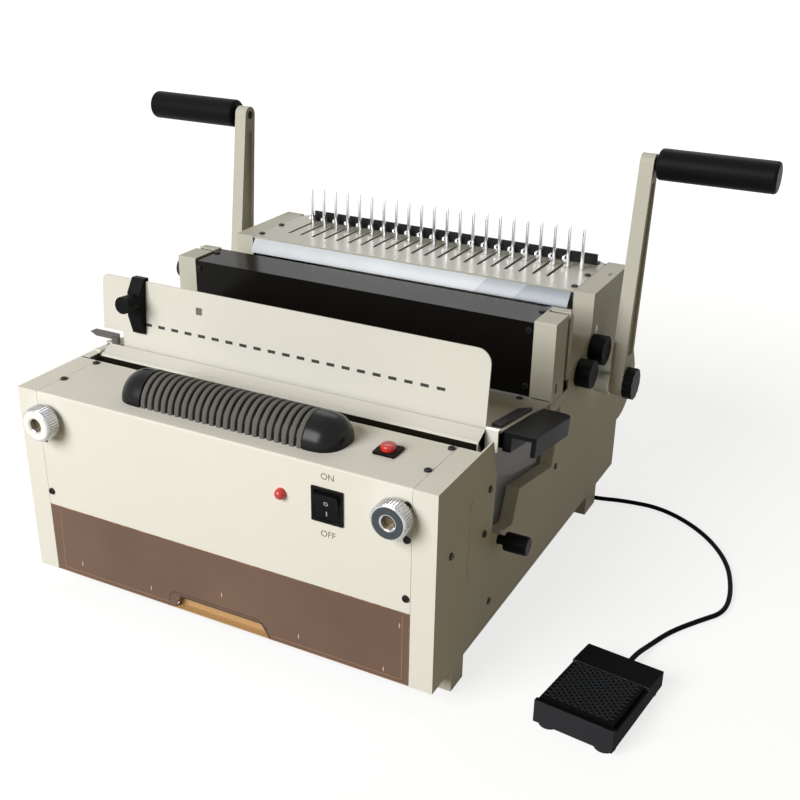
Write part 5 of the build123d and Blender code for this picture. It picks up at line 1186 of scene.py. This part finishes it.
@dataclass
class CombUnit(Maker):
    """Tines, hooks and the bright strip."""

    tine_count: int = 22
    first_tine: float = -140.9
    tine_y: float = 385.0
    plate: float = 245.0
    tine_top: float = 286.0
    strip_front: float = 321.3
    strip_half: float = 171.5
    # Where the strip's painted reflection steps darker, in millimetres to the right.
    reflection_steps: tuple[float, float] = (90.0, 130.0)

    def build(self) -> None:
        """Make the comb unit's pieces."""
        mesh = self.repeat(self.trees.row, self.tine(), "polished_steel", count=self.tine_count,
                           start=at(self.first_tine, self.tine_y, self.plate), step=SIDEWAYS * PITCH * MM)
        self.shop.add("tine_row", mesh, "polished_steel", node="comb_tines")
        self.shop.soften("hook_carriage", 0.3, finish="bright_metal")
        self.soften(rear_guard=0.35)
        self.add_strip()

    def add_strip(self) -> None:
        """Polished strip that leans out under the comb plate's front edge; its pale plain colour, darker in steps to
        the right, is painted reflection.
        """
        section = ((0.0, 0.0), (-7.0, -9.6), (-8.0, -13.2), (-7.2, -13.4), (-6.0, -9.6), (1.0, -1.2), (28.0, -1.2),
                   (28.0, 0.0))
        bm = bmesh.new()
        prism(bm, [at(-self.strip_half, self.strip_front + y, self.plate - 1.6 + z) for y, z in section],
              SIDEWAYS * 2 * self.strip_half)
        for step in self.reflection_steps:
            bmesh.ops.bisect_plane(bm, geom=bm.verts[:] + bm.edges[:] + bm.faces[:],
                                   plane_co=at(step, 0.0, self.plate), plane_no=Vector((1.0, 0.0, -0.8)))
        strip = self.shop.add("bright_strip", merged("bright_strip", [as_mesh(bm, "strip")]), "strip_painted_reflection",
                              self.shop.slot_of("comb_front_strip"), "comb_front_strip")
        first, last = self.reflection_steps
        self.shop.repaint(strip, "strip_painted_reflection_middle", lambda spot, _: first < spot.x < last - 5.0)
        self.shop.repaint(strip, "strip_painted_reflection_dark", lambda spot, _: spot.x > last - 5.0)

    def tine(self) -> BMesh:
        """One tine: a shoulder at the plate, a slim blade and a slanted tip."""
        bm = bmesh.new()
        top = self.tine_top - self.plate
        outline = [(-1.9, -3.0), (1.9, -3.0), (1.9, 6.6), (1.45, 8.4), (1.25, top - 3.2), (0.7, top), (-0.7, top),
                   (-1.2, top - 6.0), (-1.45, 8.4), (-1.9, 6.6)]
        prism(bm, [Vector((x, 1.3, z)) * MM for x, z in outline], FORWARD * 2.6)
        soft_edges(bm, 0.28)
        return bm


@dataclass
class LeverArms(Maker):
    """Arms, grips and hub knobs."""

    casing_half: float = 194.0

    def build(self) -> None:
        """Round the edges; the shaft's spacers outside the casing are pale plastic."""
        # The arms take the darker ivory, which is painted shade.
        self.shop.soften("lever_arms", 0.8, 3, "ivory_rear_painted_shade")
        self.soften(arm_grips=0.4, hub_knobs=0.5)
        shaft = self.shop.soften("arm_shaft", 0.4)
        self.shop.repaint(shaft, "pale_plastic", lambda spot, _: abs(spot.x) > self.casing_half)


@dataclass
class DieAndDrawer(Maker):
    """The removable die's outside, the lock pin, the size knobs and the chip drawer."""

    # Places of the drawer's painted glints in millimetres across and up.
    glints: tuple[tuple[float, float], ...] = (
        (-145.3, 34.9), (-70.6, 33.4), (2.5, 49.9), (75.9, 34.2), (152.3, 30.4), (165.6, 75.0))

    def build(self) -> None:
        """Make the pieces."""
        self.soften(die_handle=0.8, lock_pin=0.4, size_knob_lower=0.4, size_knob_upper=0.4, waste_drawer=0.4,
                    drawer_pull=0.4)
        self.shop.soften("die_end_plate", 0.3, finish="plate_mauve")
        self.add_drawer_lines()
        bm = bmesh.new()
        slab(bm, (-46.9, 0.3, 21.6), (46.9, 8.4, 22.6))
        self.shop.add("cup_floor", bm, "amber_plastic", body="drawer")

    def add_drawer_lines(self) -> None:
        """Moulded lines of the drawer's front: its rim with a painted highlight, the dark rim round the notch, and
        small painted glints.
        """
        for name, finish, front, lines in (
            ("drawer_rim", "amber_rim_highlight", 0.06, (
                (0.45, [(-164.0, 84.0), (-165.6, 26.0), (-52.0, 26.0)]),
                (0.45, [(52.0, 26.0), (168.0, 26.0), (168.0, 84.0)]),
                (0.6, [(-173.0, 22.2), (-47.0, 22.2)]),
                (0.6, [(48.0, 22.2), (173.0, 22.2)]))),
            ("notch_rim", "smoked_dark", 0.05, (
                (0.7, [(-53.0, 22.0), (-51.0, 33.0), (-47.0, 37.4), (38.0, 37.4)]),
                (1.2, [(-41.0, 34.8), (41.0, 34.8), (44.5, 31.0), (48.6, 22.4)]))),
        ):
            bm = bmesh.new()
            for width, path in lines:
                ribbon(bm, path, width, front)
            self.shop.add(name, bm, finish, "smoked_plastic", body="drawer")
        bm = bmesh.new()
        for x, z in self.glints:
            corners = ((0.0, -2.8), (0.55, 0.0), (0.0, 2.8), (-0.55, 0.0))
            prism(bm, [at(x + dx, -0.08, z + dz) for dx, dz in corners], -FORWARD * 0.3)
        self.shop.add("drawer_glints", bm, "glint", "smoked_plastic", body="drawer")


@dataclass
class FootPedal(Maker):
    """Pedal housing, its tread with short ridges, and feet."""

    place: tuple[float, float] = (303.4, 73.0)
    turn: float = -6.4
    slope: float = 5.0
    rows: int = 21
    columns: int = 9
    # Place of the first ridge and the way to the next row and column, in millimetres.
    ridge_start: tuple[float, float] = (-24.6, -40.0)
    ridge_step: tuple[float, float] = (6.0, 2.72)
    stagger: float = 1.5

    def build(self) -> None:
        """Make the pedal."""
        base = self.shop.soften("pedal_base", 0.6, finish="pedal_black")
        front = self.on_pedal().to_3x3() @ FORWARD
        self.lower_lip(base.data)
        # Faces that look forward take a lighter black: painted light on the housing's front wall.
        self.shop.repaint(base, "pedal_front", lambda _, normal: normal.dot(front) > 0.8)
        # Faces along the front wall's top edge take a pale grey: a painted highlight line.
        self.shop.repaint(base, "pedal_edge_highlight", lambda _, normal: normal.dot(front) > 0.25 and normal.z > 0.25)
        self.shop.soften("pedal_tread", 0.4, finish="pedal_black")
        self.shop.soften("pedal_feet", 0.5, finish="pedal_front")
        self.add_ridges()

    def lower_lip(self, mesh: Mesh, drop: float = 3.5) -> None:
        """Bring the top of the housing's front wall down by some millimetres."""
        back = self.on_pedal().inverted()
        for point in mesh.vertices:
            local = back @ point.co
            if local.y < -48.0 * MM and local.z > 12.0 * MM:
                point.co.z -= drop * MM

    def on_pedal(self) -> Matrix:
        """The way from the pedal's own axes to its place."""
        return Matrix.Translation(at(*self.place, 0.0)) @ Matrix.Rotation(math.radians(self.turn), 4, "Z")

    def add_ridges(self) -> None:
        """Short ridges in staggered rows over the tread."""
        move = self.on_pedal()
        slope = math.tan(math.radians(self.slope))
        normal = (move.to_3x3() @ Vector((0.0, slope, 1.0))).normalized()
        places = []
        for row in range(self.rows):
            y = self.ridge_start[1] + row * self.ridge_step[1]
            for column in range(self.columns):
                x = self.ridge_start[0] + column * self.ridge_step[0] + (self.stagger if row % 2 else -self.stagger)
                places.append((move @ (Vector((x, y, 17.9 + (48.0 - y) * slope)) * MM), normal))
        bm = bmesh.new()
        slab(bm, (-2.3, -0.5, 0.0), (2.3, 0.5, 0.55), Vector())
        soft_edges(bm, 0.2, 1)
        bm.transform(Matrix.Rotation(math.radians(self.turn), 4, "Z"))
        mesh = self.repeat(self.trees.points, bm, "tread_rubber", points=facing_points(places), turn_spread=0.0)
        self.shop.add("tread_ridges", mesh, "tread_rubber", "black_plastic", body="tread")


@dataclass
class Remainder(Maker):
    """Every CAD node that has no piece of its own yet."""

    def build(self) -> None:
        """Give each node that still shows the finish of its slot."""
        for node, shape in frame["nodes"].items():
            if not shape.hide_render:
                shape.data.materials.clear()
                shape.data.materials.append(self.shop.material(self.shop.slot_of(node)))


def main() -> None:
    """Build the scene in order."""
    logging.basicConfig(level=logging.INFO)
    bpy.context.scene.view_settings.view_transform = "Standard"
    shop = Workshop()
    Stage().build()
    PedalCord(shop).build()
    trees = RepeatTrees()
    for assembly in (Casing, CarryHandle, FrontControls, PaperSide, CombUnit, LeverArms, DieAndDrawer, FootPedal,
                     Remainder):
        assembly(shop, trees).build()


if __name__ == "__main__":
    main()
